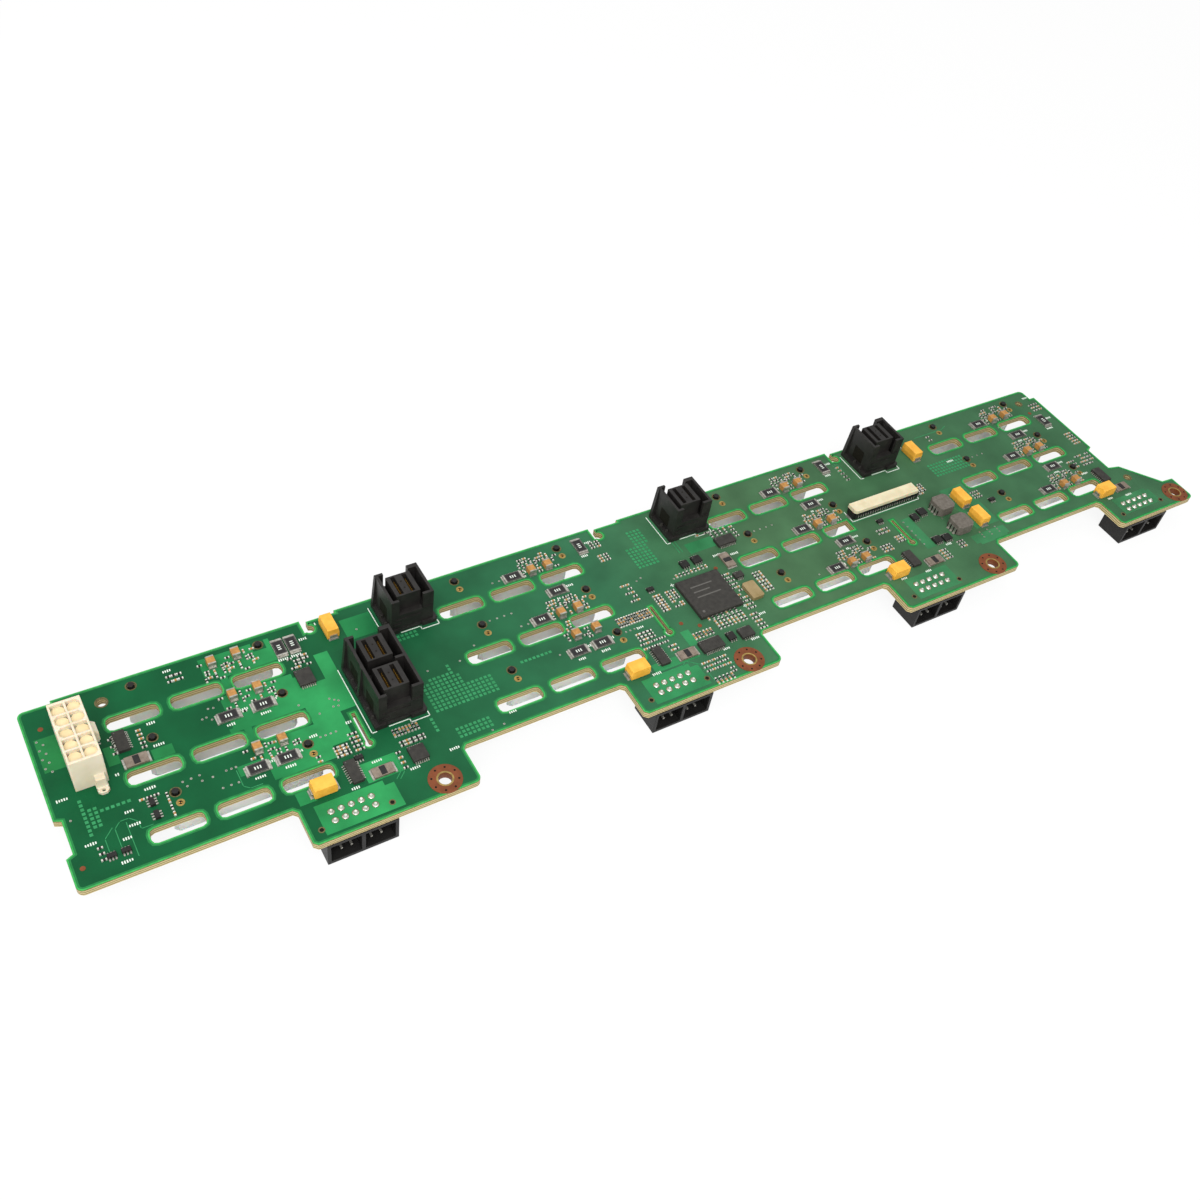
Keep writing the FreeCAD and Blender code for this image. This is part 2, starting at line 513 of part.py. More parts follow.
# ----------------------------------------------------------------- on the board
def make_power_header():
    """Mould the upright ten-way power header with its latch ramp and lug, and its pins."""
    body = new_body("power_header")
    half_wide, half_long = "header_wide / 2", "header_long / 2"
    sketch = new_sketch(body, "outline")
    draw_box(sketch, "-" + half_wide, "-" + half_long, half_wide, half_long)
    pad(body, sketch, "housing", "header_tall")
    sketch = new_sketch(body, "ramp", "XZ_Plane", "-latch_long / 2")
    draw_loop(sketch, (("%s - fuse" % half_wide, "latch_low"), (half_wide, "latch_low"),
                       ("%s + latch_out" % half_wide, "latch_low + latch_out"),
                       ("%s + latch_out" % half_wide, "latch_high"),
                       ("%s - fuse" % half_wide, "latch_high + latch_out")))
    pad(body, sketch, "latch_ramp", "latch_long")
    sketch = new_sketch(body, "lug")
    draw_loop(sketch, (("lug_x - lug_wide / 2", "-%s + fuse" % half_long),
                       ("lug_x - lug_wide / 2", "-%s - lug_long + lug_bevel" % half_long),
                       ("lug_x - lug_wide / 4", "-%s - lug_long" % half_long),
                       ("lug_x + lug_wide / 4", "-%s - lug_long" % half_long),
                       ("lug_x + lug_wide / 2", "-%s - lug_long + lug_bevel" % half_long),
                       ("lug_x + lug_wide / 2", "-%s + fuse" % half_long)))
    pad(body, sketch, "lug_plate", "lug_tall")
    sketch = new_sketch(body, "lug_post")
    draw_box(sketch, "lug_x - post_wide / 2", "-%s - post_deep" % half_long,
             "lug_x + post_wide / 2", "-%s + fuse" % half_long)
    pad(body, sketch, "lug_post_pad", "post_tall")
    sketch = new_sketch(body, "lug_bore", lift="lug_tall")
    draw_circle(sketch, "lug_x", "-%s - lug_long + lug_bore + lug_bevel / 2" % half_long, "lug_bore")
    pocket(body, sketch, "lug_bore_cut", "lug_tall")
    sketch = new_sketch(body, "cells", lift="header_tall")
    keyed = ((0, 2), (0, 3), (1, 0), (1, 3), (1, 4))
    for side in range(2):
        for row in range(5):
            x, y = "(%d * header_pitch / 2)" % (2 * side - 1), "%d * header_pitch" % (row - 2)
            near, far = "header_cell / 2", "header_cell / 2 - header_cell_cut"
            if (side, row) in keyed:
                out = "%d" % (2 * side - 1)
                draw_loop(sketch, (("%s - %s * (%s)" % (x, out, near), "%s - %s" % (y, near)),
                                   ("%s + %s * (%s)" % (x, out, far), "%s - %s" % (y, near)),
                                   ("%s + %s * (%s)" % (x, out, near), "%s - (%s)" % (y, far)),
                                   ("%s + %s * (%s)" % (x, out, near), "%s + (%s)" % (y, far)),
                                   ("%s + %s * (%s)" % (x, out, far), "%s + %s" % (y, near)),
                                   ("%s - %s * (%s)" % (x, out, near), "%s + %s" % (y, near))))
            else:
                draw_box(sketch, "%s - %s" % (x, near), "%s - %s" % (y, near),
                         "%s + %s" % (x, near), "%s + %s" % (y, near))
    pocket(body, sketch, "cell_cuts", "header_tall - header_floor")
    sketch = new_sketch(body, "pin_hole", lift="header_floor")
    size = "header_pin / 2 + header_pin_gap"
    draw_box(sketch, "-header_pitch / 2 - (%s)" % size, "-2 * header_pitch - (%s)" % size,
             "-header_pitch / 2 + %s" % size, "-2 * header_pitch + %s" % size)
    cut = pocket(body, sketch, "pin_hole_cut", "header_floor")
    pattern(body, cut, "pin_holes", (("H_Axis", False, "header_pitch", 2),
                                     ("V_Axis", False, "header_pitch", 5)))
    parts.append(place(body, "header_x", "header_y"))

    pins = []
    for side in range(2):
        for row in range(5):
            x = "header_x + %d * header_pitch / 2 - header_pin / 2" % (2 * side - 1)
            y = "header_y + %d * header_pitch - header_pin / 2" % (row - 2)
            size = ("header_pin", "header_pin", "header_pin_top + header_pin_tail")
            pins.append(block("header_pin_%d%d" % (side + 1, row + 1), size,
                              (x, y, "-header_pin_tail")))
    group("power_header_pins", pins)


def make_cable_port(label, count, x, y):
    """Mould a high-density cable port of one or more places.

    Each place has a raised island with two card slots. A latch trench runs down the
    left side and a latch well lies at the right. Between the corner posts the shroud
    is cut down, and braces stiffen the left wall.
    """
    body = new_body(label)
    long = "(port_long + %d * port_pitch)" % (count - 1)
    right = "port_wide - port_side"
    sketch = new_sketch(body, "foot_print")
    draw_loop(sketch, (("0", "-port_foot"), ("port_foot_1", "-port_foot"), ("port_foot_1", "0"),
                       ("port_wide - port_foot_2 - port_foot_inset", "0"),
                       ("port_wide - port_foot_2 - port_foot_inset", "-port_foot"),
                       ("port_wide - port_foot_inset", "-port_foot"),
                       ("port_wide - port_foot_inset", "0"),
                       ("port_wide", "0"), ("port_wide", long), ("0", long)))
    pad(body, sketch, "base_plate", "port_base")
    sketch = new_sketch(body, "shroud")
    draw_box(sketch, "port_side", "port_set_back", right, long)
    pad(body, sketch, "shroud_block", "port_tall")
    for place_number in range(count):
        far = "port_long + %d * port_pitch" % place_number
        sketch = new_sketch(body, "brace_%d" % (place_number + 1), "XZ_Plane", "-(%s)" % far)
        draw_loop(sketch, (("0", "port_base - fuse"), ("port_side + fuse", "port_base - fuse"),
                           ("port_side + fuse", "port_tall"), ("port_side - fuse", "port_tall")))
        pad(body, sketch, "brace_pad_%d" % (place_number + 1), "port_brace")
    trench = "port_side + port_wall"
    island = "%s + trench_wide" % trench
    island_end = "%s + island_wide" % island
    sketch = new_sketch(body, "latch_wells", lift="port_tall")
    draw_box(sketch, trench, "port_set_back + port_skin", island, "%s - port_skin" % long)
    for place_number in range(count):
        start = "%d * port_pitch" % place_number
        draw_box(sketch, "%s + fuse" % island_end, "%s + port_set_back + port_skin" % start,
                 "%s + fuse + latch_well_wide" % island_end,
                 "%s + port_pitch + port_set_back" % start)
    pocket(body, sketch, "latch_well_cuts", "trench_deep")
    sketch = new_sketch(body, "valleys", lift="port_tall")
    draw_box(sketch, island, "-overrun", "%s + fuse" % island_end, "island_from")
    for place_number in range(count - 1):
        start = "%d * port_pitch" % place_number
        draw_box(sketch, island, "%s + island_from + island_long" % start,
                 "%s + fuse" % island_end, "%s + port_pitch + island_from" % start)
    last = "%d * port_pitch + island_from + island_long" % (count - 1)
    draw_box(sketch, island, last, "%s + fuse" % island_end, "%s + overrun" % long)
    pocket(body, sketch, "valley_cuts", "valley_deep")
    sketch = new_sketch(body, "card_slots", lift="port_tall")
    for place_number in range(count):
        start = "%d * port_pitch + island_from + (island_long - card_slot_long) / 2" % place_number
        for left in ("%s + card_slot_inset" % island,
                     "%s - card_slot_inset - card_slot_wide" % island_end):
            draw_box(sketch, left, start, "%s + card_slot_wide" % left,
                     "%s + card_slot_long" % start)
    pocket(body, sketch, "card_slot_cuts", "card_slot_deep")
    parts.append(place(body, x, y))


def make_ribbon_connector():
    """Make the flat-cable connector: a dark base and the natural nylon insulator on it."""
    base = new_body("ribbon_connector_base")
    half, deep = "ribbon_long / 2", "ribbon_deep / 2"
    sketch = new_sketch(base, "outline")
    draw_box(sketch, "-" + half, "-" + deep, half, deep)
    pad(base, sketch, "block", "ribbon_base_tall")
    parts.append(place(base, "ribbon_x", "ribbon_y"))
    top = new_body("ribbon_connector_insulator")
    sketch = new_sketch(top, "outline")
    draw_loop(sketch, (("-%s - ribbon_lap + ribbon_notch" % half, "-" + deep), (half, "-" + deep),
                       (half, deep), ("-%s - ribbon_lap" % half, deep),
                       ("-%s - ribbon_lap" % half, "-%s + ribbon_notch" % deep)))
    pad(top, sketch, "bar", "ribbon_top_tall")
    parts.append(place(top, "ribbon_x", "ribbon_y", "ribbon_base_tall"))


def make_chip_can_coils():
    """Make the square controller chip, the crystal can and the two power coils."""
    body = new_body("controller_chip")
    sketch = new_sketch(body, "outline")
    draw_box(sketch, "-chip_side / 2", "-chip_side / 2", "chip_side / 2", "chip_side / 2")
    package = pad(body, sketch, "package", "chip_tall")
    top = ["Edge%d" % number for number, edge in enumerate(package.Shape.Edges, start=1)
           if edge.BoundBox.ZMin > value_of("chip_tall") - 1e-3]
    bevel = body.newObject("PartDesign::Chamfer", "top_bevel")
    bevel.Base = (package, top)
    bevel.setExpression("Size", tie("chip_bevel"))
    doc.recompute()
    parts.append(place(body, "chip_x", "chip_y"))

    body = new_body("crystal_can")
    sketch = new_sketch(body, "outline")
    draw_box(sketch, "-can_wide / 2", "-can_long / 2", "can_wide / 2", "can_long / 2")
    pad(body, sketch, "can", "can_tall")
    spots = [(x, y) for x in ("-can_wide / 2", "can_wide / 2")
             for y in ("-can_long / 2", "can_long / 2")]
    ease_corners(body, "Fillet", spots, "can_round", "can_corners")
    parts.append(place(body, "can_x", "can_y"))

    for number in (1, 2):
        body = new_body("power_coil_%d" % number)
        sketch = new_sketch(body, "outline")
        side, cut = "coil_side / 2", "coil_cut"
        draw_loop(sketch, (("-%s + %s" % (side, cut), "-" + side),
                           ("%s - %s" % (side, cut), "-" + side),
                           (side, "-%s + %s" % (side, cut)), (side, "%s - %s" % (side, cut)),
                           ("%s - %s" % (side, cut), side), ("-%s + %s" % (side, cut), side),
                           ("-" + side, "%s - %s" % (side, cut)),
                           ("-" + side, "-%s + %s" % (side, cut))))
        pad(body, sketch, "core", "coil_tall")
        parts.append(place(body, "coil_x", "coil_%d_y" % number))


# centre of each moulded capacitor, and whether it lies along the board
TANTALUMS = ((63.2, 8.2, False), (39.4, -46.3, True), (143.5, -47.0, True), (251.4, -47.1, True),
             (356.7, -46.2, True), (298.1, 1.4, False), (298.7, -26.8, False),
             (298.7, -37.3, False))


def make_tantalums():
    """Mould the yellow capacitors, wider at mid height, on their folded end leads."""
    leads = []
    for number, (x, y, along) in enumerate(TANTALUMS, start=1):
        body = new_body("tantalum_capacitor_%d" % number)
        half, wide = ("tant_long / 2", "tant_wide") if along else ("tant_wide / 2", "tant_long")
        sketch = new_sketch(body, "section", "XZ_Plane", "-(%s) / 2" % wide)
        draw_loop(sketch, (("-%s + tant_bevel / 2" % half, "tant_lift"),
                           ("%s - tant_bevel / 2" % half, "tant_lift"),
                           (half, "tant_tall / 2"), ("%s - tant_bevel" % half, "tant_tall"),
                           ("-%s + tant_bevel" % half, "tant_tall"), ("-" + half, "tant_tall / 2")))
        pad(body, sketch, "moulding", wide)
        parts.append(place(body, x, y))
        for end in ("-1", "1"):
            out = "%s * (tant_long / 2 + tant_lead / 4)" % end
            size = ["tant_lead / 2", "tant_lead_wide", "tant_lead_tall"]
            spot = [out, "0"]
            if not along:
                size[0], size[1] = size[1], size[0]
                spot = ["0", out]
            leads.append(block("tantalum_lead_%d_%s" % (number, "a" if end == "1" else "b"), size,
                               ("%s + %s - %s / 2" % (x, spot[0], size[0]),
                                "%s + %s - %s / 2" % (y, spot[1], size[1]), "0")))
    group("tantalum_leads", leads)


# Small parts: plan centre and plan size of each package on the board.
POWER_SWITCHES = ((-5.4, -7.4, 3.4, 7.3), (49.2, -44.5, 3.3, 8.0), (153.7, -44.7, 3.3, 7.3),
                  (260.7, -43.7, 3.6, 7.2), (363.2, -38.4, 3.8, 7.2))
LOGIC_CHIPS = ((49.4, -6.8, 5.0, 6.0), (68.4, -46.4, 5.0, 5.2), (171.6, -47.5, 8.2, 4.5),
               (202.8, -9.1, 7.4, 3.9), (185.2, -47.8, 5.0, 4.0), (197.7, -25.1, 3.4, 2.4))
TRANSISTORS = ((276.0, -27.2, 2.7, 2.8), (280.4, -26.0, 3.4, 3.0), (276.3, -39.9, 3.4, 2.8),
               (280.4, -40.4, 3.4, 2.8), (188.2, -13.0, 3.4, 3.0), (183.1, -13.2, 3.0, 2.8),
               (179.7, -47.1, 2.8, 3.0))
SHUNTS = ((-3.4, -15.2, True), (56.9, -47.6, True), (162.4, -47.3, True), (268.4, -47.6, True),
          (366.0, -46.6, True), (198.3, -17.4, False))


def flat_parts(node, table, tall):
    """Lay flat packages on the board and gather them in one node."""
    members = []
    for number, (x, y, wide, deep) in enumerate(table, start=1):
        spot = (str(x - wide / 2), str(y - deep / 2), "0")
        members.append(block("%s_%d" % (node, number), (str(wide), str(deep), tall), spot))
    group(node, members)


def make_shunts():
    """Lay the current-sense shunts near each power socket."""
    members = []
    for number, (x, y, along) in enumerate(SHUNTS, start=1):
        size = ("shunt_long", "shunt_wide") if along else ("shunt_wide", "shunt_long")
        members.append(block("shunt_%d" % number, size + ("shunt_tall",),
                             ("%s - %s / 2" % (x, size[0]), "%s - %s / 2" % (y, size[1]), "0")))
    group("current_shunts", members)


# Per drive place, offsets from that place's first airflow slot: two pull-up
# resistors (and whether each lies along the board) and two tall ceramic capacitors.
# The first column has its own layout, the others share one with small shifts.
BAY_RESISTORS = {
    (0, 0): ((46.6, 7.2, False), (50.7, 7.2, False)),
    (0, 1): ((24.4, 9.4, True), (34.9, 9.4, True)),
    (0, 2): ((25.6, 9.1, True), (34.5, 9.1, True)),
    (1, 0): ((21.3, 5.1, True), (48.9, 8.8, False)),
    (1, 1): ((32.0, 14.2, True), (21.3, 5.1, True)),
    (1, 2): ((25.7, 9.1, True), (34.5, 9.1, True)),
    (2, 0): ((22.6, 5.1, True), (49.8, 9.0, False)),
    (2, 1): ((33.3, 14.4, True), (22.6, 5.0, True)),
    (2, 2): ((33.7, 14.2, True), (22.6, 4.7, True)),
    (3, 0): ((21.7, 5.1, True), (50.0, -3.6, False)),
    (3, 1): ((33.0, 14.3, True), (21.7, 5.0, True)),
    (3, 2): ((33.0, 14.5, True), (21.7, 5.0, True)),
}
BAY_CAPACITORS = {
    (0, 0): ((26.3, 9.7), (34.0, 10.1)),
    (0, 1): ((27.8, 15.8), (35.4, 15.8)),
    (0, 2): ((27.8, 15.4), (35.2, 15.4)),
    (1, 0): ((28.2, 5.0), (34.4, 5.1)),
    (1, 1): ((28.2, 4.8), (34.5, 4.8)),
    (1, 2): ((28.2, 15.3), (35.6, 15.3)),
    (2, 0): ((29.0, 5.0), (35.2, 5.0)),
    (2, 1): ((29.1, 4.6), (35.4, 4.6)),
    (2, 2): ((29.1, 4.6), (35.4, 4.6)),
    (3, 0): ((29.3, 5.1), (35.8, 5.2)),
    (3, 1): ((29.4, 4.8), (35.8, 4.8)),
    (3, 2): ((29.4, 4.6), (35.8, 4.6)),
}


def make_bay_parts():
    """Lay the resistors and the tall ceramic capacitors of the twelve drive places."""
    resistors = []
    for (column, row), spots in BAY_RESISTORS.items():
        for x, y, along in spots:
            size = ("bay_long", "bay_wide") if along else ("bay_wide", "bay_long")
            where = ("%d * column_pitch + %s - %s / 2" % (column, x, size[0]),
                     "%s - %d * row_pitch - %s / 2" % (y, row, size[1]), "0")
            resistors.append(block("bay_resistor", size + ("bay_tall",), where))
    group("bay_resistors", resistors)
    capacitors = []
    for (column, row), spots in BAY_CAPACITORS.items():
        for x, y in spots:
            where = ("%d * column_pitch + %s - cap_wide / 2" % (column, x),
                     "%s - %d * row_pitch - cap_long / 2" % (y, row), "0")
            capacitors.append(block("bay_capacitor", ("cap_wide", "cap_long", "cap_tall"), where))
    group("bay_capacitors", capacitors)


def check_and_write():
    """Refuse any failed object or bad shape, then write one STEP file for each piece."""
    doc.recompute()
    for item in doc.Objects:
        if "Invalid" in item.State or "Error" in item.State:
            raise ValueError("%s failed to build" % item.Label)
    for item in parts:
        if item.Shape.isNull() or not item.Shape.isValid() or not item.Shape.Solids:
            raise ValueError("%s has no good shape" % item.Label)
    os.makedirs("parts", exist_ok=True)
    for item in parts:
        item.Shape.exportStep("parts/%s.step" % item.Label)
        print("%-28s %3d solids %12.2f mm3" % (item.Label, len(item.Shape.Solids),
                                               item.Shape.Volume))


make_board()
make_screw_eyes()
make_drive_receptacles()
make_power_sockets()
make_power_header()
make_cable_port("cable_port_double", 2, "port_1_x", "port_1_y")
make_cable_port("cable_port_1", 1, "port_2_x", "port_y")
make_cable_port("cable_port_2", 1, "port_3_x", "port_y")
make_cable_port("cable_port_3", 1, "port_4_x", "port_y")
make_ribbon_connector()
make_chip_can_coils()
make_tantalums()
flat_parts("power_switch_chips", POWER_SWITCHES, "soic_tall")
flat_parts("logic_chips", LOGIC_CHIPS, "soic_tall")
flat_parts("power_transistors", TRANSISTORS, "fet_tall")
make_shunts()
make_bay_parts()
check_and_write()
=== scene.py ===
import enum
import logging
import math
import random
from dataclasses import dataclass, field

import bmesh
import bpy
from mathutils import Matrix, Vector
from mathutils.bvhtree import BVHTree


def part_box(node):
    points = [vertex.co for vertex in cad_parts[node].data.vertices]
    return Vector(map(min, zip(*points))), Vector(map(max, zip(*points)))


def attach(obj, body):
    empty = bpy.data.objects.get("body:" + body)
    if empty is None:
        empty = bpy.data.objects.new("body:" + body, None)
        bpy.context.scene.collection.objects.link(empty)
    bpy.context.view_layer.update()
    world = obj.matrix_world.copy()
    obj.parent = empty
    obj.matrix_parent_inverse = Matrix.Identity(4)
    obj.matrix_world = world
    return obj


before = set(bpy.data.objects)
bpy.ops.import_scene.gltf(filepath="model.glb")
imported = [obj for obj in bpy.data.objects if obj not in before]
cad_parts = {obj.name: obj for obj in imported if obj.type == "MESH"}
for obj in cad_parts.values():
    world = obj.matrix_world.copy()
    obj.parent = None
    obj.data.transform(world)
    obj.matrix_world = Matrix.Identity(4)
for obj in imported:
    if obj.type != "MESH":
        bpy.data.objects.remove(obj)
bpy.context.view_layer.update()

log = logging.getLogger("backplane")
MM = 0.001
# how high a surface grain is drawn
GRAIN_RISE_MM = 0.1
Point = tuple[float, float]
Tree = bpy.types.NodeTree
Node = bpy.types.Node


# ------------------------------------------------------------------- shader helpers
def linear(hex_colour: str) -> tuple[float, float, float, float]:
    """Turn an sRGB hex colour into linear light.

    Args:
        hex_colour: a colour such as "#1F5C3E".

    Returns:
        The linear red, green and blue with an alpha of one.
    """
    parts = [int(hex_colour[place:place + 2], 16) / 255 for place in (1, 3, 5)]
    red, green, blue = (part / 12.92 if part <= 0.04045 else ((part + 0.055) / 1.055) ** 2.4
                        for part in parts)
    return red, green, blue, 1.0


def add_node(tree: Tree, kind: str, settings: dict | None = None,
             links: dict | None = None) -> Node:
    """Add a node with its properties, its socket values and the links into it.

    Args:
        tree: the node tree that gets the node.
        kind: the node's type name.
        settings: properties by name, and socket values by socket index.
        links: output sockets to join, by input socket index or name.

    Returns:
        The new node.
    """
    node = tree.nodes.new(kind)
    for key, value in (settings or {}).items():
        if isinstance(key, str):
            setattr(node, key, value)
        else:
            node.inputs[key].default_value = value
    for key, source in (links or {}).items():
        tree.links.new(source, node.inputs[key])
    return node


def ramp(tree: Tree, factor: bpy.types.NodeSocket, stops: list[tuple[float, str]]) -> Node:
    """Add a colour ramp with hex colours.

    Args:
        tree: the node tree that gets the ramp.
        factor: the socket that drives it.
        stops: positions from 0 to 1, each with its colour.

    Returns:
        The ramp node.
    """
    node = add_node(tree, "ShaderNodeValToRGB", links={0: factor})
    band = node.color_ramp
    while len(band.elements) < len(stops):
        band.elements.new(1.0)
    for element, (place, colour) in zip(band.elements, stops):
        element.position = place
        element.color = linear(colour)
    return node


@dataclass(frozen=True)
class Finish:
    """A material: what it is made of and what its surface process leaves to see.

    Patches and grains are in millimetres. The real grit of a mould or a screen is about 0.02 mm,
    too fine to show, so each grain here is drawn as coarse as it needs to be seen.
    """

    name: str
    colour: str
    shade: str
    patch_mm: float = 2.0
    roughness: float = 0.5
    rough_swing: float = 0.08
    metallic: float = 0.0
    bump: float = 0.15
    grain_mm: float = 0.25
    subsurface: float = 0.0
    bleed_mm: float = 0.6
    specular: float = 0.35

    def place(self, tree: Tree) -> bpy.types.NodeSocket:
        """Give the object coordinates in millimetres.

        Args:
            tree: the material's node tree.

        Returns:
            The socket with the coordinates.
        """
        coords = add_node(tree, "ShaderNodeTexCoord")
        scale = (1 / MM,) * 3
        mapping = add_node(tree, "ShaderNodeMapping", {3: scale}, {0: coords.outputs["Object"]})
        return mapping.outputs[0]

    def base_colour(self, tree: Tree, place: bpy.types.NodeSocket) -> bpy.types.NodeSocket:
        """Mix the two colours by a soft noise of the patch size.

        Args:
            tree: the material's node tree.
            place: the coordinates in millimetres.

        Returns:
            The socket with the colour.
        """
        noise = add_node(tree, "ShaderNodeTexNoise", {2: 1 / self.patch_mm, 3: 3.0}, {0: place})
        stops = [(0.32, self.shade), (0.68, self.colour)]
        return ramp(tree, noise.outputs[0], stops).outputs[0]

    def surface_bump(self, tree: Tree, place: bpy.types.NodeSocket) -> bpy.types.NodeSocket:
        """Raise a fine grain of the grain size.

        Args:
            tree: the material's node tree.
            place: the coordinates in millimetres.

        Returns:
            The socket with the normal.
        """
        noise = add_node(tree, "ShaderNodeTexNoise", {2: 1 / self.grain_mm, 3: 2.0}, {0: place})
        bump = add_node(tree, "ShaderNodeBump", {0: self.bump, 1: GRAIN_RISE_MM * MM},
                        {"Height": noise.outputs[0]})
        return bump.outputs[0]

    def build(self) -> bpy.types.Material:
        """Make the material, or give the one already made.

        Returns:
            The procedural material.
        """
        made = bpy.data.materials.get(self.name)
        if made:
            return made
        material = bpy.data.materials.new(self.name)
        material.use_nodes = True
        tree = material.node_tree
        shader = tree.nodes["Principled BSDF"]
        place = self.place(tree)
        tree.links.new(self.base_colour(tree, place), shader.inputs["Base Color"])
        tree.links.new(self.surface_bump(tree, place), shader.inputs["Normal"])
        wear = add_node(tree, "ShaderNodeTexNoise", {2: 0.7 / self.patch_mm, 3: 4.0}, {0: place})
        low, high = self.roughness - self.rough_swing, self.roughness + self.rough_swing
        spread = add_node(tree, "ShaderNodeMapRange", {3: low, 4: high}, {0: wear.outputs[0]})
        tree.links.new(spread.outputs[0], shader.inputs["Roughness"])
        shader.inputs["Metallic"].default_value = self.metallic
        shader.inputs["Subsurface Weight"].default_value = self.subsurface
        shader.inputs["Subsurface Scale"].default_value = self.bleed_mm * MM
        shader.inputs["Specular IOR Level"].default_value = self.specular
        return material


@dataclass(frozen=True)
class MaskFinish(Finish):
    """Green solder mask over copper and laminate, with a painted sheen: its greens change along the
    board where the lights' reflection lies.
    """

    # greens by x in millimetres from the board's middle: a painted sheen, dark at the left end and
    # paler to the right where the lights reflect
    painted_sheen_drift: tuple[tuple[float, str], ...] = (
        (-210.0, "#0A5530"), (-140.0, "#0B5630"), (-80.0, "#1F5F3C"), (-30.0, "#2F6847"),
        (35.0, "#446A48"), (150.0, "#3B6746"))
    span_mm: float = 420.0

    def base_colour(self, tree: Tree, place: bpy.types.NodeSocket) -> bpy.types.NodeSocket:
        """Run the greens of the painted sheen along the board and mottle them with the inner copper
        planes.

        Args:
            tree: the material's node tree.
            place: the coordinates in millimetres.

        Returns:
            The socket with the colour.
        """
        split = add_node(tree, "ShaderNodeSeparateXYZ", links={0: place})
        along = add_node(tree, "ShaderNodeMapRange", {1: -self.span_mm / 2, 2: self.span_mm / 2},
                         {0: split.outputs[0]})
        sheen_tone = ramp(tree, along.outputs[0],
                    [(0.5 + spot / self.span_mm, sheen_tone) for spot, sheen_tone in self.painted_sheen_drift])
        noise = add_node(tree, "ShaderNodeTexNoise", {2: 1 / self.patch_mm, 3: 4.0}, {0: place})
        cloud = ramp(tree, noise.outputs[0], [(0.3, "#D8D8D8"), (0.7, "#FFFFFF")])
        mixed = add_node(tree, "ShaderNodeMix",
                         {"data_type": "RGBA", "blend_type": "MULTIPLY", 0: 1.0},
                         {6: sheen_tone.outputs[0], 7: cloud.outputs[0]})
        return mixed.outputs[2]


@dataclass(frozen=True)
class ReceptacleFinish(Finish):
    """Natural polymer under the board, with the dark pegs that pass through it."""

    peg: str = "#141312"
    underside_mm: float = 9.45

    def base_colour(self, tree: Tree, place: bpy.types.NodeSocket) -> bpy.types.NodeSocket:
        """Choose the peg's colour above the board's underside and the natural one below.

        Args:
            tree: the material's node tree.
            place: the coordinates in millimetres.

        Returns:
            The socket with the colour.
        """
        pale = super().base_colour(tree, place)
        split = add_node(tree, "ShaderNodeSeparateXYZ", links={0: place})
        above = add_node(tree, "ShaderNodeMath",
                         {"operation": "GREATER_THAN", 1: self.underside_mm},
                         {0: split.outputs[2]})
        mixed = add_node(tree, "ShaderNodeMix", {"data_type": "RGBA", 7: linear(self.peg)},
                         {0: above.outputs[0], 6: pale})
        return mixed.outputs[2]


@dataclass(frozen=True)
class BoardFinish(MaskFinish):
    """The bare board: solder mask on its two faces, sawn glass-epoxy laminate on its edges."""

    laminate: str = "#B7A77C"
    resin: str = "#6E6138"
    ply_mm: float = 0.42

    def base_colour(self, tree: Tree, place: bpy.types.NodeSocket) -> bpy.types.NodeSocket:
        """Choose mask or laminate by which way the surface faces.

        Args:
            tree: the material's node tree.
            place: the coordinates in millimetres.

        Returns:
            The socket with the colour.
        """
        mask = super().base_colour(tree, place)
        plies = add_node(tree, "ShaderNodeTexWave",
                         {"bands_direction": "Z", 1: 1 / (self.ply_mm * 2 * math.pi), 2: 1.2},
                         {0: place})
        edge = ramp(tree, plies.outputs[0], [(0.1, self.resin), (0.6, self.laminate)])
        facing = add_node(tree, "ShaderNodeNewGeometry")
        split = add_node(tree, "ShaderNodeSeparateXYZ", links={0: facing.outputs["Normal"]})
        level = add_node(tree, "ShaderNodeMath", {"operation": "ABSOLUTE"}, {0: split.outputs[2]})
        flat = add_node(tree, "ShaderNodeMath", {"operation": "GREATER_THAN", 1: 0.5},
                        {0: level.outputs[0]})
        mixed = add_node(tree, "ShaderNodeMix", {"data_type": "RGBA"},
                         {0: flat.outputs[0], 6: edge.outputs[0], 7: mask})
        return mixed.outputs[2]


# Printed epoxy film on glass-epoxy: an even satin green that lets the planes below mottle it.
# Its default greens along the board paint a sheen: dark at the left end, paler to the right.
BOARD = BoardFinish("solder_mask_on_laminate", "#2B6B46", "#24603E", patch_mm=14.0,
                    roughness=0.46, bump=0.08, grain_mm=0.5, specular=0.12)
# The same film over copper: the metal below makes it lighter and more yellow.
POUR = MaskFinish("solder_mask_over_copper_pour", "#2E9654", "#278A4B", patch_mm=9.0,
                  roughness=0.44, bump=0.08, grain_mm=0.5, specular=0.12,
                  # its greens along the board carry a painted highlight, brightest near -128 mm
                  # over the large pour
                  painted_sheen_drift=((-210.0, "#247840"), (-152.0, "#1F7C44"), (-128.0, "#2F9755"),
                         (-104.0, "#1C7843"), (-30.0, "#2F8450"), (70.0, "#3A7C50")))
# Film over bare laminate at an edge: light passes in and glows back bright green.
RIM = Finish("solder_mask_bare_laminate_rim", "#3FA552", "#2E8F45", roughness=0.42, grain_mm=0.4,
             specular=0.15)
# Where the copper starts again, that glow fades to a deeper green.
RIM_INNER = Finish("solder_mask_rim_inner", "#22773F", "#1C6936", roughness=0.42, grain_mm=0.4,
                   specular=0.15)
# Film over a narrow track or square: a faint raised line, a little lighter than the board.
TRACE = Finish("solder_mask_over_trace", "#338A58", "#2B7B4B", roughness=0.44, grain_mm=0.4,
               specular=0.15)
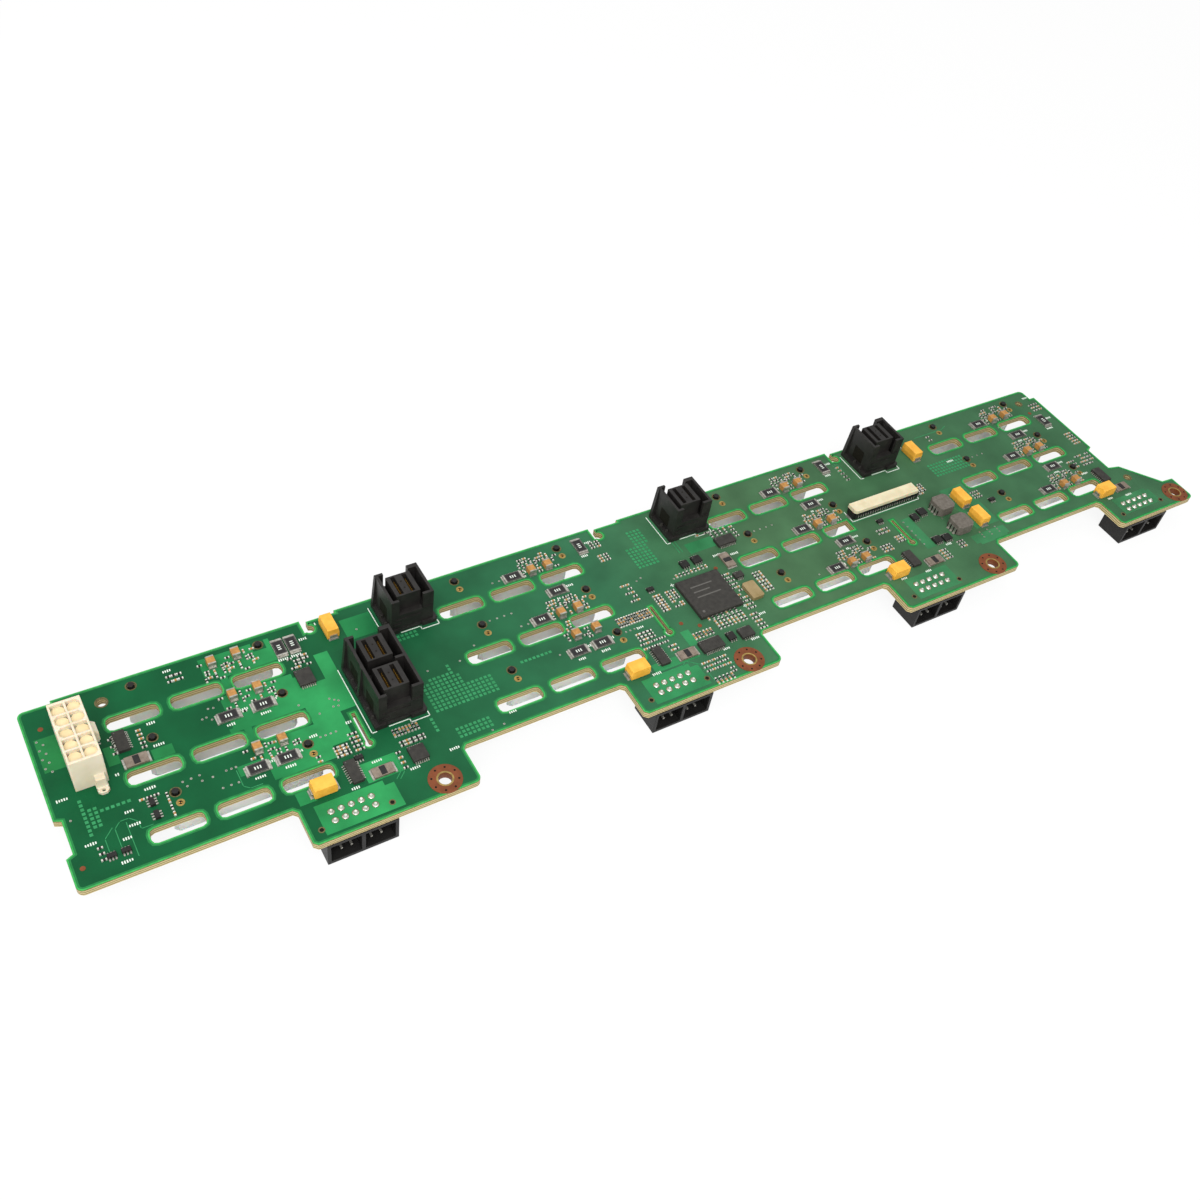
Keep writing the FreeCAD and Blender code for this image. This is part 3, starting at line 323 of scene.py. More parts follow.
# Screen-printed epoxy ink: matt white, thin where the screen lifted.
INK = Finish("silkscreen_epoxy_ink", "#E4E9E0", "#C0CDC0", patch_mm=0.5, roughness=0.6, bump=0.3)
# Reflowed tin: a satin grey metal with fine ripples, a little warm from its flux.
TIN = Finish("reflowed_tin_plating", "#B9B7AE", "#918F86", roughness=0.36, metallic=0.75,
             patch_mm=0.8, bump=0.3, grain_mm=0.4)
# Wave-soldered joint: brighter and smoother than the plating round it.
SOLDER = Finish("reflowed_solder_fillet", "#E6E4DC", "#BAB7AD", roughness=0.3, metallic=0.6,
                patch_mm=0.9, bump=0.3, grain_mm=0.5)
# Copper that has dulled in air: brown, with little shine left.
COPPER = Finish("oxidised_copper_plating", "#7A4020", "#683617", roughness=0.5, metallic=0.15,
                patch_mm=2.2, bump=0.25, grain_mm=0.3)
# Thin plating round a hole, half under the film: olive brown.
RING = Finish("plated_hole_land", "#6E6440", "#4E4A2C", roughness=0.5, metallic=0.3, patch_mm=0.8)
# Hard gold over nickel: warm and clear.
GOLD = Finish("hard_gold_plating", "#C79A45", "#A97C30", roughness=0.34, metallic=0.6,
              patch_mm=1.0, bump=0.2)
# Thin immersion gold, scuffed by screws and pegs: dull straw.
EYELET = Finish("dull_gold_eyelet", "#A58A4C", "#7E6A3A", roughness=0.42, metallic=0.4,
                patch_mm=1.2, bump=0.2)
# Stamped lid with a gold flash: satin beige metal.
LID = Finish("gold_flashed_lid", "#A08C66", "#8C784F", roughness=0.4, metallic=0.35,
             patch_mm=3.0, bump=0.15)
# The inside of a narrow plated hole sees no light.
BORE = Finish("plated_bore_in_shadow", "#1D1913", "#100E0A", roughness=0.6, patch_mm=0.5,
              specular=0.1)
# Glass-filled liquid-crystal polymer from a spark-eroded mould: warm near-black, matt.
LCP = Finish("moulded_black_lcp", "#262422", "#1C1A19", roughness=0.46, patch_mm=3.0,
             bump=0.35, grain_mm=0.18, specular=0.3)
# Glass-filled polyester from the same kind of mould: a shade darker.
PBT = Finish("moulded_black_pbt", "#1A1918", "#131211", roughness=0.5, patch_mm=4.0,
             bump=0.35, grain_mm=0.2, specular=0.3)
# The same polymer without pigment: chalk white, a little translucent.
NATURAL = ReceptacleFinish("moulded_natural_lcp", "#FAF9F5", "#F1EFE8", roughness=0.5,
                           patch_mm=4.0, bump=0.2, grain_mm=0.2, subsurface=0.3, bleed_mm=2.0)
# Unpigmented nylon: cream, smooth, with light bleeding through its thin walls.
NYLON = Finish("moulded_natural_nylon", "#D8CEB8", "#CEC3A9", roughness=0.4, patch_mm=5.0,
               bump=0.15, grain_mm=0.3, subsurface=0.25, bleed_mm=1.5)
# The same nylon down in a cell, painted a lighter beige for the light that bleeds through its thin
# walls.
NYLON_CELL_GLOW = Finish("nylon_cell_painted_glow", "#E2CFA6", "#D8C397", roughness=0.5, patch_mm=3.0,
                    bump=0.1)
# Aged ivory nylon of the flat-cable connector.
NYLON_WARM = Finish("moulded_ivory_nylon", "#D9CFB1", "#CCC09E", roughness=0.42, patch_mm=4.0,
                    bump=0.15, grain_mm=0.3, subsurface=0.2)
# Transfer-moulded epoxy: matt charcoal with a fine even pitting.
EPOXY = Finish("moulded_package_epoxy", "#35332F", "#2A2825", roughness=0.55, patch_mm=1.5,
               bump=0.4, grain_mm=0.12, specular=0.3)
# The blacker epoxy of small packages.
EPOXY_DARK = Finish("moulded_package_epoxy_dark", "#201F1D", "#171615", roughness=0.5,
                    patch_mm=1.2, bump=0.4, grain_mm=0.12, specular=0.3)
# Pigmented epoxy of moulded capacitors: warm yellow, eggshell.
TANTALUM = Finish("moulded_yellow_epoxy", "#F0B245", "#E0A034", roughness=0.42, patch_mm=2.5,
                  bump=0.25, grain_mm=0.2)
# Pressed iron powder in binder: coarse, matt taupe.
FERRITE = Finish("pressed_ferrite", "#6C665E", "#59534B", roughness=0.62, patch_mm=0.9,
                 bump=0.6, grain_mm=0.22, specular=0.25)
# Fired barium titanate: tan, with an even dry surface.
CERAMIC = Finish("fired_capacitor_ceramic", "#B98648", "#9C6E38", roughness=0.48, patch_mm=0.8,
                 bump=0.3, grain_mm=0.15)
# Glass glaze over a printed film: near black with a soft shine.
GLAZE = Finish("glazed_resistor_film", "#1E1C1C", "#141313", roughness=0.4, patch_mm=0.8)
# Rolled copper-nickel strip under thin tin: brownish grey metal.
SHUNT = Finish("tinned_copper_nickel_strip", "#8E8174", "#776A5E", roughness=0.42, metallic=0.4,
               patch_mm=1.0, bump=0.2)
# A laser burns epoxy to a lighter, dusty grey.
MARK = Finish("laser_mark_on_epoxy", "#5D5B57", "#514F4B", roughness=0.6, patch_mm=0.4)


# --------------------------------------------------------------------- mesh drafting
@dataclass
class Draft:
    """A mesh being drawn in the board's own millimetres.

    X and Y run from the centre of the first airflow slot, Z from the board's top face.
    """

    name: str
    finish: Finish
    slot: str
    corners: list[Vector] = field(default_factory=list)
    faces: list[tuple[int, ...]] = field(default_factory=list)

    def prism(self, outline: list[Point], low: float, high: float, draw_in: float = 0.0) -> None:
        """Stand a closed prism on an outline.

        Args:
            outline: plan corners, anticlockwise.
            low: height of the foot.
            high: height of the top.
            draw_in: how far the top's corners move towards their middle.
        """
        start, count = len(self.corners), len(outline)
        middle = Vector((sum(x for x, _ in outline), sum(y for _, y in outline))) / count
        self.corners += [Vector((x, y, low)) for x, y in outline]
        for x, y in outline:
            offset = middle - Vector((x, y))
            step = offset.normalized() * draw_in if offset.length > 1e-6 else offset
            self.corners.append(Vector((x + step.x, y + step.y, high)))
        self.faces.append(tuple(range(start + count - 1, start - 1, -1)))
        self.faces.append(tuple(range(start + count, start + 2 * count)))
        for side in range(count):
            after = (side + 1) % count
            self.faces.append((start + side, start + after, start + count + after,
                               start + count + side))

    def slab(self, x: float, y: float, wide: float, deep: float, low: float, high: float,
             draw_in: float = 0.0) -> None:
        """Stand a block on its centre.

        Args:
            x: the centre along the board.
            y: the centre across the board.
            wide: the size along X.
            deep: the size along Y.
            low: height of the foot.
            high: height of the top.
            draw_in: how far the top's corners move towards their middle.
        """
        left, right, front, back = x - wide / 2, x + wide / 2, y - deep / 2, y + deep / 2
        self.prism([(left, front), (right, front), (right, back), (left, back)], low, high, draw_in)

    def block(self, spot: Point, along: bool, shift: Point, size: Point, low: float, high: float,
              draw_in: float = 0.0) -> None:
        """Stand a block on a part that may be turned a quarter.

        Args:
            spot: the part's centre.
            along: whether the part's length runs along X, and otherwise along Y.
            shift: the block's place from that centre, by the part's length and width.
            size: the block's size by the part's length and width.
            low: height of the foot.
            high: height of the top.
            draw_in: how far the top's corners move towards their middle.
        """
        (x, y), (reach, aside), (long, wide) = spot, shift, size
        if along:
            self.slab(x + reach, y + aside, long, wide, low, high, draw_in)
        else:
            self.slab(x + aside, y + reach, wide, long, low, high, draw_in)

    def frame_line(self, x: float, y: float, wide: float, deep: float, line: float,
                   low: float, high: float) -> None:
        """Draw the four sides of a rectangle as thin slabs.

        Args:
            x: the centre along the board.
            y: the centre across the board.
            wide: the outer size along X.
            deep: the outer size along Y.
            line: how wide the drawn line is.
            low: height of its foot.
            high: height of its top.
        """
        for side in (-1, 1):
            self.slab(x, y + side * (deep - line) / 2, wide, line, low, high)
            self.slab(x + side * (wide - line) / 2, y, line, deep - 2 * line, low, high)

    def ring(self, x: float, y: float, radius: float, hole: float, low: float, high: float,
             sides: int) -> None:
        """Lay a flat ring: an outer wall, an inner wall and the two faces between them.

        Args:
            x: the centre along the board.
            y: the centre across the board.
            radius: the outer radius.
            hole: the inner radius.
            low: height of the foot.
            high: height of the top.
            sides: how many sides the circle has.
        """
        start = len(self.corners)
        for height in (low, high):
            for reach in (radius, hole):
                for turn in range(sides):
                    angle = 2 * math.pi * turn / sides
                    self.corners.append(Vector((x + reach * math.cos(angle),
                                                y + reach * math.sin(angle), height)))
        outer_low, inner_low, outer_top, inner_top = (start + row * sides for row in range(4))
        for turn in range(sides):
            after = (turn + 1) % sides
            for first, second in ((outer_low, outer_top), (outer_top, inner_top),
                                  (inner_top, inner_low), (inner_low, outer_low)):
                self.faces.append((first + turn, first + after, second + after, second + turn))

    def disc(self, x: float, y: float, radius: float, low: float, high: float,
             sides: int) -> None:
        """Stand a round post or dot on its centre.

        Args:
            x: the centre along the board.
            y: the centre across the board.
            radius: the outer radius.
            low: height of the foot.
            high: height of the top.
            sides: how many sides the circle has.
        """
        outline = [(x + radius * math.cos(2 * math.pi * turn / sides),
                    y + radius * math.sin(2 * math.pi * turn / sides)) for turn in range(sides)]
        self.prism(outline, low, high)

    def dome(self, x: float, y: float, radius: float, low: float, high: float,
             sides: int, neck: float) -> None:
        """Stand a concave solder fillet: wide foot, hollow flank, narrow neck.

        Args:
            x: the centre along the board.
            y: the centre across the board.
            radius: the outer radius.
            low: height of the foot.
            high: height of the top.
            sides: how many sides the circle has.
            neck: the top radius as a share of the foot's.
        """
        levels = ((1.0, 0.0), (0.78, 0.22), (0.55, 0.6), (neck, 1.0))
        start = len(self.corners)
        for reach, rise in levels:
            for turn in range(sides):
                angle = 2 * math.pi * turn / sides
                self.corners.append(Vector((x + radius * reach * math.cos(angle),
                                            y + radius * reach * math.sin(angle),
                                            low + (high - low) * rise)))
        self.faces.append(tuple(range(start + sides - 1, start - 1, -1)))
        for level in range(len(levels) - 1):
            row = start + level * sides
            for turn in range(sides):
                after = (turn + 1) % sides
                self.faces.append((row + turn, row + after, row + sides + after,
                                   row + sides + turn))
        top = start + (len(levels) - 1) * sides
        self.faces.append(tuple(range(top, top + sides)))

    def ribbon(self, path: list[Point], wide: float, low: float, high: float) -> None:
        """Run a flat strip along a path, one slab for each leg with square joints.

        Args:
            path: the corners of the path.
            wide: how wide the strip is.
            low: height of its foot.
            high: height of its top.
        """
        for (x, y), (far_x, far_y) in zip(path, path[1:]):
            along = Vector((far_x - x, far_y - y))
            if along.length < 1e-6:
                continue
            step = along.normalized() * wide / 2
            side = Vector((-step.y, step.x))
            begin, end = Vector((x, y)) - step * 0.9, Vector((far_x, far_y)) + step * 0.9
            self.prism([tuple(begin - side), tuple(end - side), tuple(end + side),
                        tuple(begin + side)], low, high)

    def make(self, board: "BoardPlace") -> None:
        """Turn the draft into a piece of the scene that rides on the frame.

        Args:
            board: where the board lies in the frame.
        """
        mesh = bpy.data.meshes.new(self.name)
        shift = board.corner
        mesh.from_pydata([((point + shift) * MM)[:] for point in self.corners], [], self.faces)
        mesh.validate()
        shape = bmesh.new()
        shape.from_mesh(mesh)
        bmesh.ops.recalc_face_normals(shape, faces=shape.faces)
        shape.to_mesh(mesh)
        shape.free()
        piece = bpy.data.objects.new(self.name, mesh)
        bpy.context.scene.collection.objects.link(piece)
        mesh.materials.append(self.finish.build())
        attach(piece, "root")
        log.info("%s: %d faces", self.name, len(self.faces))


def soften(piece: bpy.types.Object, width_mm: float) -> None:
    """Weld a mesh's split corners and round its sharp edges a little.

    Args:
        piece: the object that gets the modifiers.
        width_mm: width of the rounding.
    """
    weld = piece.modifiers.new("weld", "WELD")
    weld.merge_threshold = 0.002 * MM
    bevel = piece.modifiers.new("edge_radius", "BEVEL")
    bevel.width = width_mm * MM
    bevel.segments = 2
    bevel.limit_method = "ANGLE"
    bevel.angle_limit = math.radians(40)
    bevel.use_clamp_overlap = True


@dataclass
class BoardPlace:
    """Where the board's own coordinates lie in the frame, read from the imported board."""

    left_edge: float = -28.8
    back_edge: float = 15.2
    corner: Vector = field(init=False)
    surface: BVHTree = field(init=False)

    def __post_init__(self) -> None:
        """Work out the shift from the board's millimetres to the frame's."""
        low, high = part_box("circuit_board")
        self.corner = Vector((low.x / MM - self.left_edge, high.y / MM - self.back_edge,
                              high.z / MM))
        shape = bmesh.new()
        shape.from_mesh(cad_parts["circuit_board"].data)
        self.surface = BVHTree.FromBMesh(shape)
        shape.free()

    def carries(self, x: float, y: float, reach: float) -> bool:
        """Tell whether the board's top face lies under a square round a place.

        Args:
            x: the square's centre along the board, in millimetres.
            y: its centre across the board.
            reach: half of its side.

        Returns:
            True when all four corners and the centre stand on the top face.
        """
        for across, up in ((0, 0), (-1, -1), (1, -1), (1, 1), (-1, 1)):
            start = (Vector((x + across * reach, y + up * reach, 1.0)) + self.corner) * MM
            hit = self.surface.ray_cast(start, Vector((0, 0, -1)), 2.0 * MM)[0]
            if hit is None or hit.z < (self.corner.z - 0.2) * MM:
                return False
        return True

    def box(self, node: str) -> tuple[Vector, Vector]:
        """Give the box round a node.

        Args:
            node: the CAD node's name.

        Returns:
            Its lowest and highest corners in the board's millimetres.
        """
        low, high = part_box(node)
        return low / MM - self.corner, high / MM - self.corner


def solid_boxes(board: BoardPlace, node: str) -> list[tuple[Vector, Vector]]:
    """Split a node of separate solids into one box each.

    Args:
        board: where the board lies.
        node: the CAD node's name.

    Returns:
        The lowest and highest corner of each solid, in board millimetres, left to right and
        then front to back.
    """
    shape = bmesh.new()
    shape.from_mesh(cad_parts[node].data)
    bmesh.ops.remove_doubles(shape, verts=shape.verts, dist=0.001 * MM)
    left = set(shape.verts)
    boxes = []
    while left:
        queue = [left.pop()]
        found = list(queue)
        while queue:
            for edge in queue.pop().link_edges:
                for vert in edge.verts:
                    if vert in left:
                        left.remove(vert)
                        queue.append(vert)
                        found.append(vert)
        low = Vector(min(vert.co[axis] for vert in found) for axis in range(3))
        high = Vector(max(vert.co[axis] for vert in found) for axis in range(3))
        boxes.append((low / MM - board.corner, high / MM - board.corner))
    shape.free()
    return sorted(boxes, key=lambda pair: [round(size, 2) for size in (
        pair[0].x, pair[0].y, pair[1].x, pair[1].y, pair[1].z)])


def lay_out(low: Vector, high: Vector) -> tuple[Point, bool, float, float]:
    """Read how a box-shaped part lies on the board.

    Args:
        low: the box's lowest corner.
        high: its highest corner.

    Returns:
        The part's centre, whether its length runs along X, its length and its width.
    """
    across, up = high.x - low.x, high.y - low.y
    return tuple((low + high).to_2d() / 2), across > up, max(across, up), min(across, up)


# ------------------------------------------------------------------------ the board
class Level(float, enum.Enum):
    """Heights of the printed layers above the laminate, drawn thick enough to show."""

    FIELD = 0.03
    TRACE = 0.045
    RIM = 0.055
    PAD = 0.07
    INK = 0.08


@dataclass
class BoardPrint:
    """What is printed and plated on the board: pours, traces, vias, rims and silkscreen."""

    board: BoardPlace
    # drive places and the holes for their pegs
    columns: int = 4
    rows: int = 3
    column_pitch: float = 105.0
    row_pitch: float = 20.5
    rim_start: float = 0.02
    rim_wide: float = 0.45
    rim_inner_wide: float = 0.55
    smallest_rim: float = 4.0
    peg_x: tuple[float, float] = (2.8, 41.3)
    peg_y: float = 11.2
    peg_land: float = 1.7
    peg_hole: float = 1.36
    # plated hole beside a peg, and where the tooling holes and their radii are
    lock_shift: tuple[float, float] = (0.2, -3.8)
    lock_radius: float = 1.2
    lock_hole: float = 0.62
    tooling: tuple[tuple[float, float, float], ...] = (
        (-6.4, 8.7, 1.45), (363.0, 8.8, 1.1), (373.4, -43.4, 1.2))
    fiducials: tuple[Point, ...] = (
        (-24.0, 6.2), (-25.7, -42.6), (363.2, 2.4), (167.7, -35.3), (173.0, -38.6), (192.6, -18.8))
    via_radius: float = 0.34
    square_pitch: float = 1.45
    square_side: float = 0.95
    trace_wide: float = 0.22
    ink_wide: float = 0.28
    # how far up each port's left outline runs
    port_lines: tuple[tuple[str, float], ...] = (
        ("cable_port_double", -8.0), ("cable_port_1", 11.5), ("cable_port_2", 12.0),
        ("cable_port_3", 11.0))

    # light copper pours: left, front, right, back
    pours: tuple[tuple[float, float, float, float], ...] = (
        (-26.7, -9.2, -20.9, 3.0), (-10.7, -14.2, -7.4, -7.4), (1.0, -17.0, 7.0, -13.4),
        (22.9, 5.4, 44.9, 12.6), (26.8, 3.4, 44.9, 5.4), (26.8, -3.4, 29.0, 3.4),
        (24.2, -15.6, 46.2, -3.4), (23.0, -17.2, 46.2, -15.6), (26.8, -23.9, 29.0, -17.2),
        (28.6, -37.6, 45.4, -23.9), (20.4, -32.6, 28.6, -29.0), (46.2, -22.6, 54.9, -9.4),
        (45.4, -33.4, 54.2, -22.6), (45.4, -37.6, 47.4, -33.4), (46.2, -9.4, 47.2, -5.2),
        (54.9, -22.6, 59.4, 0.6), (45.4, -22.6, 46.2, -17.2), (67.2, 1.6, 77.2, 10.4),
        (31.6, -48.8, 36.5, -43.8), (51.6, -49.8, 62.4, -42.8), (34.7, -60.6, 58.2, -52.2),
        (34.7, -52.2, 55.4, -50.4), (142.8, -60.6, 163.2, -52.2), (142.8, -52.2, 160.4, -50.6),
        (251.6, -60.2, 271.0, -50.6), (356.8, -58.8, 374.6, -50.6), (374.6, -57.8, 376.2, -51.8),
        (188.4, -9.6, 199.6, -4.8), (289.6, -47.4, 305.8, -43.4), (291.2, -48.4, 304.4, -47.4),
        (294.8, -41.2, 306.2, -19.4), (270.2, -42.0, 274.4, -26.0), (149.0, -49.8, 166.0, -46.4),
        (165.2, -45.0, 168.4, -38.4),
    )
    # vias: loose ones by place, then rows by their start, step and count
    loose_vias: tuple[Point, ...] = (
        (6.3, -29.3), (10.5, -29.3), (13.5, -29.3), (17.5, -28.8), (19.0, -28.8), (20.3, -28.8),
        (14.8, -34.0), (17.2, -34.0), (19.3, -34.0), (17.3, -9.0), (18.6, -8.8), (19.8, -10.2),
        (20.0, -6.0), (21.5, -6.3), (44.0, -15.6), (53.0, -17.0), (54.2, -18.0), (55.2, -18.7),
        (54.5, -20.5), (53.0, -20.2), (48.4, -21.0), (119.0, 5.5), (121.5, 5.5), (119.0, -15.0),
        (121.5, -15.0), (164.0, -13.0), (166.0, -12.3), (166.5, -17.7), (-24.6, -27.0),
        (71.0, 5.0), (84.0, -19.4), (94.8, -19.8), (101.6, -16.0), (124.6, -30.6), (130.2, -26.4),
        (217.0, 2.4), (223.0, 1.2), (225.0, -36.0), (236.4, -20.6), (240.6, -22.0),
        (286.0, -31.6), (311.6, -21.6), (327.0, -22.4), (344.0, 0.4), (341.0, -36.8),
        (84.4, -50.6), (92.0, -47.8), (96.2, -47.2), (190.6, -54.0), (306.0, -53.6))
    via_rows: tuple[tuple[float, float, float, float, int], ...] = (
        (-26.1, 2.2, 0.0, -3.3, 4), (-24.7, 0.6, 0.0, -3.3, 4), (110.8, -8.8, 2.6, 0.0, 4),
        (215.8, -9.0, 2.6, 0.0, 4), (321.0, -9.2, 2.6, 0.0, 3), (5.6, -27.4, 2.4, 0.1, 3),
        (294.6, -43.0, 0.0, -1.3, 3), (298.4, -43.0, 0.0, -1.3, 3), (302.2, -43.0, 0.0, -1.3, 3),
        (45.4, -29.0, 1.6, 0.0, 4), (149.0, -31.0, 1.6, 0.0, 3), (176.4, -17.2, 1.5, 0.0, 6),
        (270.6, -27.4, 0.0, -2.4, 6), (362.0, -29.4, 1.5, 0.0, 4))
    # square left out of a pour round a peg hole, by half its side, and the ring that fills it
    pour_gap: float = 2.05
    pour_ring: float = 2.98
    # squares of copper that even out the plating: left, front, columns, rows
    thieving: tuple[tuple[float, float, int, int], ...] = (
        (80.2, -34.6, 15, 5), (80.2, -27.35, 9, 3), (83.1, -23.0, 5, 1), (90.35, -22.9, 1, 3),
        (82.6, -46.0, 8, 3), (77.2, -41.0, 1, 4), (168.4, -8.0, 6, 7), (172.75, 2.15, 4, 5),
        (81.4, -4.6, 5, 2), (300.4, -12.4, 12, 5), (-21.0, -33.6, 1, 9), (-19.4, -31.6, 2, 5),
        (-16.4, -27.2, 6, 1), (112.2, -28.2, 8, 1),
    )
    # fine lines that show through the mask
    lines: tuple[tuple[Point, ...], ...] = (
        ((-11.8, -45.0), (-11.8, -33.6)), ((-15.0, -40.4), (-15.0, -34.4), (-13.2, -32.6),
         (-10.8, -32.6), (-8.8, -34.6), (-8.8, -37.2), (-5.6, -37.2)),
        ((-18.2, -40.6), (-18.2, -36.4), (-15.6, -33.8)), ((20.0, -30.0), (20.0, -35.8),
         (21.6, -37.2), (25.0, -37.2)),
        ((60.4, -52.0), (62.6, -50.0), (62.6, -43.6)), ((59.4, -51.6), (61.8, -49.4),
         (61.8, -44.6)),
        ((146.2, -50.6), (158.6, -50.6), (160.4, -49.4)), ((183.6, 11.6), (183.6, 1.0),
         (185.0, -0.6), (185.0, -7.6)), ((184.6, 11.6), (184.6, 1.6), (186.2, 0.0),
         (186.2, -7.6)), ((264.8, 9.0), (264.8, 3.4)), ((265.8, 9.0), (265.8, 3.4)),
        ((266.8, 9.0), (266.8, 3.4)), ((306.0, 8.6), (320.0, 8.6), (323.0, 9.8)),
        ((168.6, -56.4), (176.4, -56.4)), ((163.6, -55.2), (174.0, -55.2)),
        ((252.4, -20.0), (283.0, -20.0)), ((160.4, -49.6), (164.6, -53.0), (164.6, -60.0)),
    )

    def build(self) -> None:
        """Make every printed and plated layer."""
        self.mask_fields()
        self.rims()
        self.plating()
        self.silkscreen()

    def mask_fields(self) -> None:
        """Lay the light pours, the thieving squares and the fine lines."""
        pours = Draft("copper_pours", POUR, "solder_mask_green")
        for area in self.pours:
            self.fill(pours, area, self.peg_places())
        pours.make(self.board)
        squares = Draft("thieving_squares", TRACE, "solder_mask_green")
        side = self.square_side
        for left, front, columns, rows in self.thieving:
            for column in range(columns):
                for row in range(rows):
                    squares.slab(left + column * self.square_pitch,
                                 front + row * self.square_pitch, side, side, 0.0, Level.TRACE)
        squares.make(self.board)
        traces = Draft("fine_traces", TRACE, "solder_mask_green")
        for path in self.lines:
            traces.ribbon(list(path), self.trace_wide, 0.0, Level.TRACE)
        traces.make(self.board)

    def peg_places(self) -> list[Point]:
        """List the holes for the drive receptacles' pegs.

        Returns:
            Their centres in board millimetres, by column, then row, then left and right.
        """
        return [(column * self.column_pitch + reach, self.peg_y - row * self.row_pitch)
                for column in range(self.columns) for row in range(self.rows)
                for reach in self.peg_x]

    def fill(self, draft: Draft, area: tuple[float, float, float, float],
             holes: list[Point]) -> None:
        """Lay a rectangle of copper and leave out a square, rounded by a ring, at each hole.

        Args:
            draft: the mesh that gets the copper.
            area: the left, front, right and back sides.
            holes: the centres of the holes that may lie in it.
        """
        left, front, right, back = area
        gap = self.pour_gap
        for number, (x, y) in enumerate(holes):
            if not (left - gap < x < right + gap and front - gap < y < back + gap):
                continue
            rest = holes[number + 1:]
            parts = ((left, front, x - gap, back), (x + gap, front, right, back),
                     (max(left, x - gap), front, min(right, x + gap), y - gap),
                     (max(left, x - gap), y + gap, min(right, x + gap), back))
            for part in parts:
                if part[2] - part[0] > 0.05 and part[3] - part[1] > 0.05:
                    self.fill(draft, part, rest)
            if left + gap < x < right - gap and front + gap < y < back - gap:
                draft.ring(x, y, self.pour_ring, self.peg_land + 0.02, 0.0, Level.FIELD + 0.004, 24)
            return
        draft.slab((left + right) / 2, (front + back) / 2, right - left, back - front, 0.0,
                   Level.FIELD)

    def rims(self) -> None:
        """Line every long edge of the board's top face with the pale rim that lacks copper."""
        first = self.rim_start
        for name, finish, start, wide in (
                ("bright_rim", RIM, first, self.rim_wide),
                ("soft_rim", RIM_INNER, first + self.rim_wide, self.rim_inner_wide)):
            draft = Draft(name, finish, "solder_mask_green")
            for loop in self.top_loops():
                self.strip(draft, loop, start, start + wide)
            draft.make(self.board)

    def top_loops(self) -> list[list[Vector]]:
        """Walk round the outline and the larger cut-outs of the board's top face.

        Returns:
            Closed loops of plan points in board millimetres, with the board on their left.
        """
        shape = bmesh.new()
        shape.from_mesh(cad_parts["circuit_board"].data)
        bmesh.ops.remove_doubles(shape, verts=shape.verts, dist=0.002 * MM)
        top = max(vert.co.z for vert in shape.verts)
        after = {}
        for face in shape.faces:
            if face.normal.z > 0.9 and face.calc_center_median().z > top - 0.1 * MM:
                for loop in face.loops:
                    others = [other for other in loop.edge.link_faces if other is not face]
                    if not others or abs(others[0].normal.z) < 0.5:
                        after[loop.vert] = loop.link_loop_next.vert
        loops = []
        while after:
            vert = next(iter(after))
            chain = []
            while vert in after:
                chain.append(vert.co / MM - self.board.corner)
                vert = after.pop(vert)
            spread = max((point - chain[0]).length for point in chain)
            if spread > self.smallest_rim and len(chain) > 3:
                loops.append(chain)
        shape.free()
        return loops

    def strip(self, draft: Draft, loop: list[Vector], near: float, far: float) -> None:
        """Lay a strip inside a loop, between two distances from its edge.

        Args:
            draft: the mesh that gets the strip.
            loop: plan points with the board on their left.
            near: distance of the strip's outer side from the edge.
            far: distance of its inner side.
        """
        clean = [point for index, point in enumerate(loop)
                 if (point - loop[index - 1]).length > 0.05]
        count, start = len(clean), len(draft.corners)
        for index, point in enumerate(clean):
            before = (point - clean[index - 1]).to_2d().normalized()
            beyond = (clean[(index + 1) % count] - point).to_2d().normalized()
            inward = Vector((-before.y - beyond.y, before.x + beyond.x))
            if inward.length < 1e-3:
                inward = Vector((-before.y, before.x))
            inward.normalize()
            miter = min(1 / max(inward.dot(Vector((-before.y, before.x))), 0.3), 1.6)
            for reach in (near, far):
                spot = point.to_2d() + inward * reach * miter
                draft.corners.append(Vector((spot.x, spot.y, Level.RIM)))
        for index in range(count):
            here, there = start + 2 * index, start + 2 * ((index + 1) % count)
            draft.faces.append((here, there, there + 1, here + 1))

    def plating(self) -> None:
        """Plate the vias, peg rings, board-lock holes, tooling holes and fiducials."""
        vias = Draft("vias", TIN, "tinned_contact")
        dark = Draft("via_bores", BORE, "plated_copper")
        for x, y in self.via_spots():
            if not self.board.carries(x, y, self.via_radius):
                continue
            vias.disc(x, y, self.via_radius, 0.0, Level.PAD, 10)
            dark.disc(x, y, self.via_radius * 0.4, 0.0, Level.INK, 8)
        vias.make(self.board)
        dark.make(self.board)
        tan = Draft("peg_rings", RING, "plated_copper")
        gold = Draft("lock_holes", EYELET, "plated_copper")
        glint = Draft("lock_glints", GOLD, "plated_copper")
        bore = Draft("lock_bores", BORE, "plated_copper")
        for place, (x, y) in enumerate(self.peg_places()):
            tan.ring(x, y, self.peg_land, self.peg_hole, 0.0, Level.PAD, 20)
            column, row = place // (2 * self.rows), place // 2 % self.rows
            if column or row == self.rows - 1:
                x, y = x + self.lock_shift[0], y + self.lock_shift[1]
                gold.ring(x, y, self.lock_radius, self.lock_hole, 0.0, Level.PAD, 18)
                bore.disc(x, y, self.lock_hole, 0.0, Level.TRACE, 12)
                glint.disc(x - 0.35, y + 0.05, 0.26, 0.0, Level.INK, 8)
                glint.disc(x + 0.3, y - 0.15, 0.2, 0.0, Level.INK, 8)
        for draft in (tan, gold, glint, bore):
            draft.make(self.board)
        rings = Draft("tooling_rings", RING, "plated_copper")
        for x, y, hole in self.tooling:
            rings.ring(x, y, hole + 0.5, hole + 0.03, 0.0, Level.PAD, 24)
        rings.make(self.board)
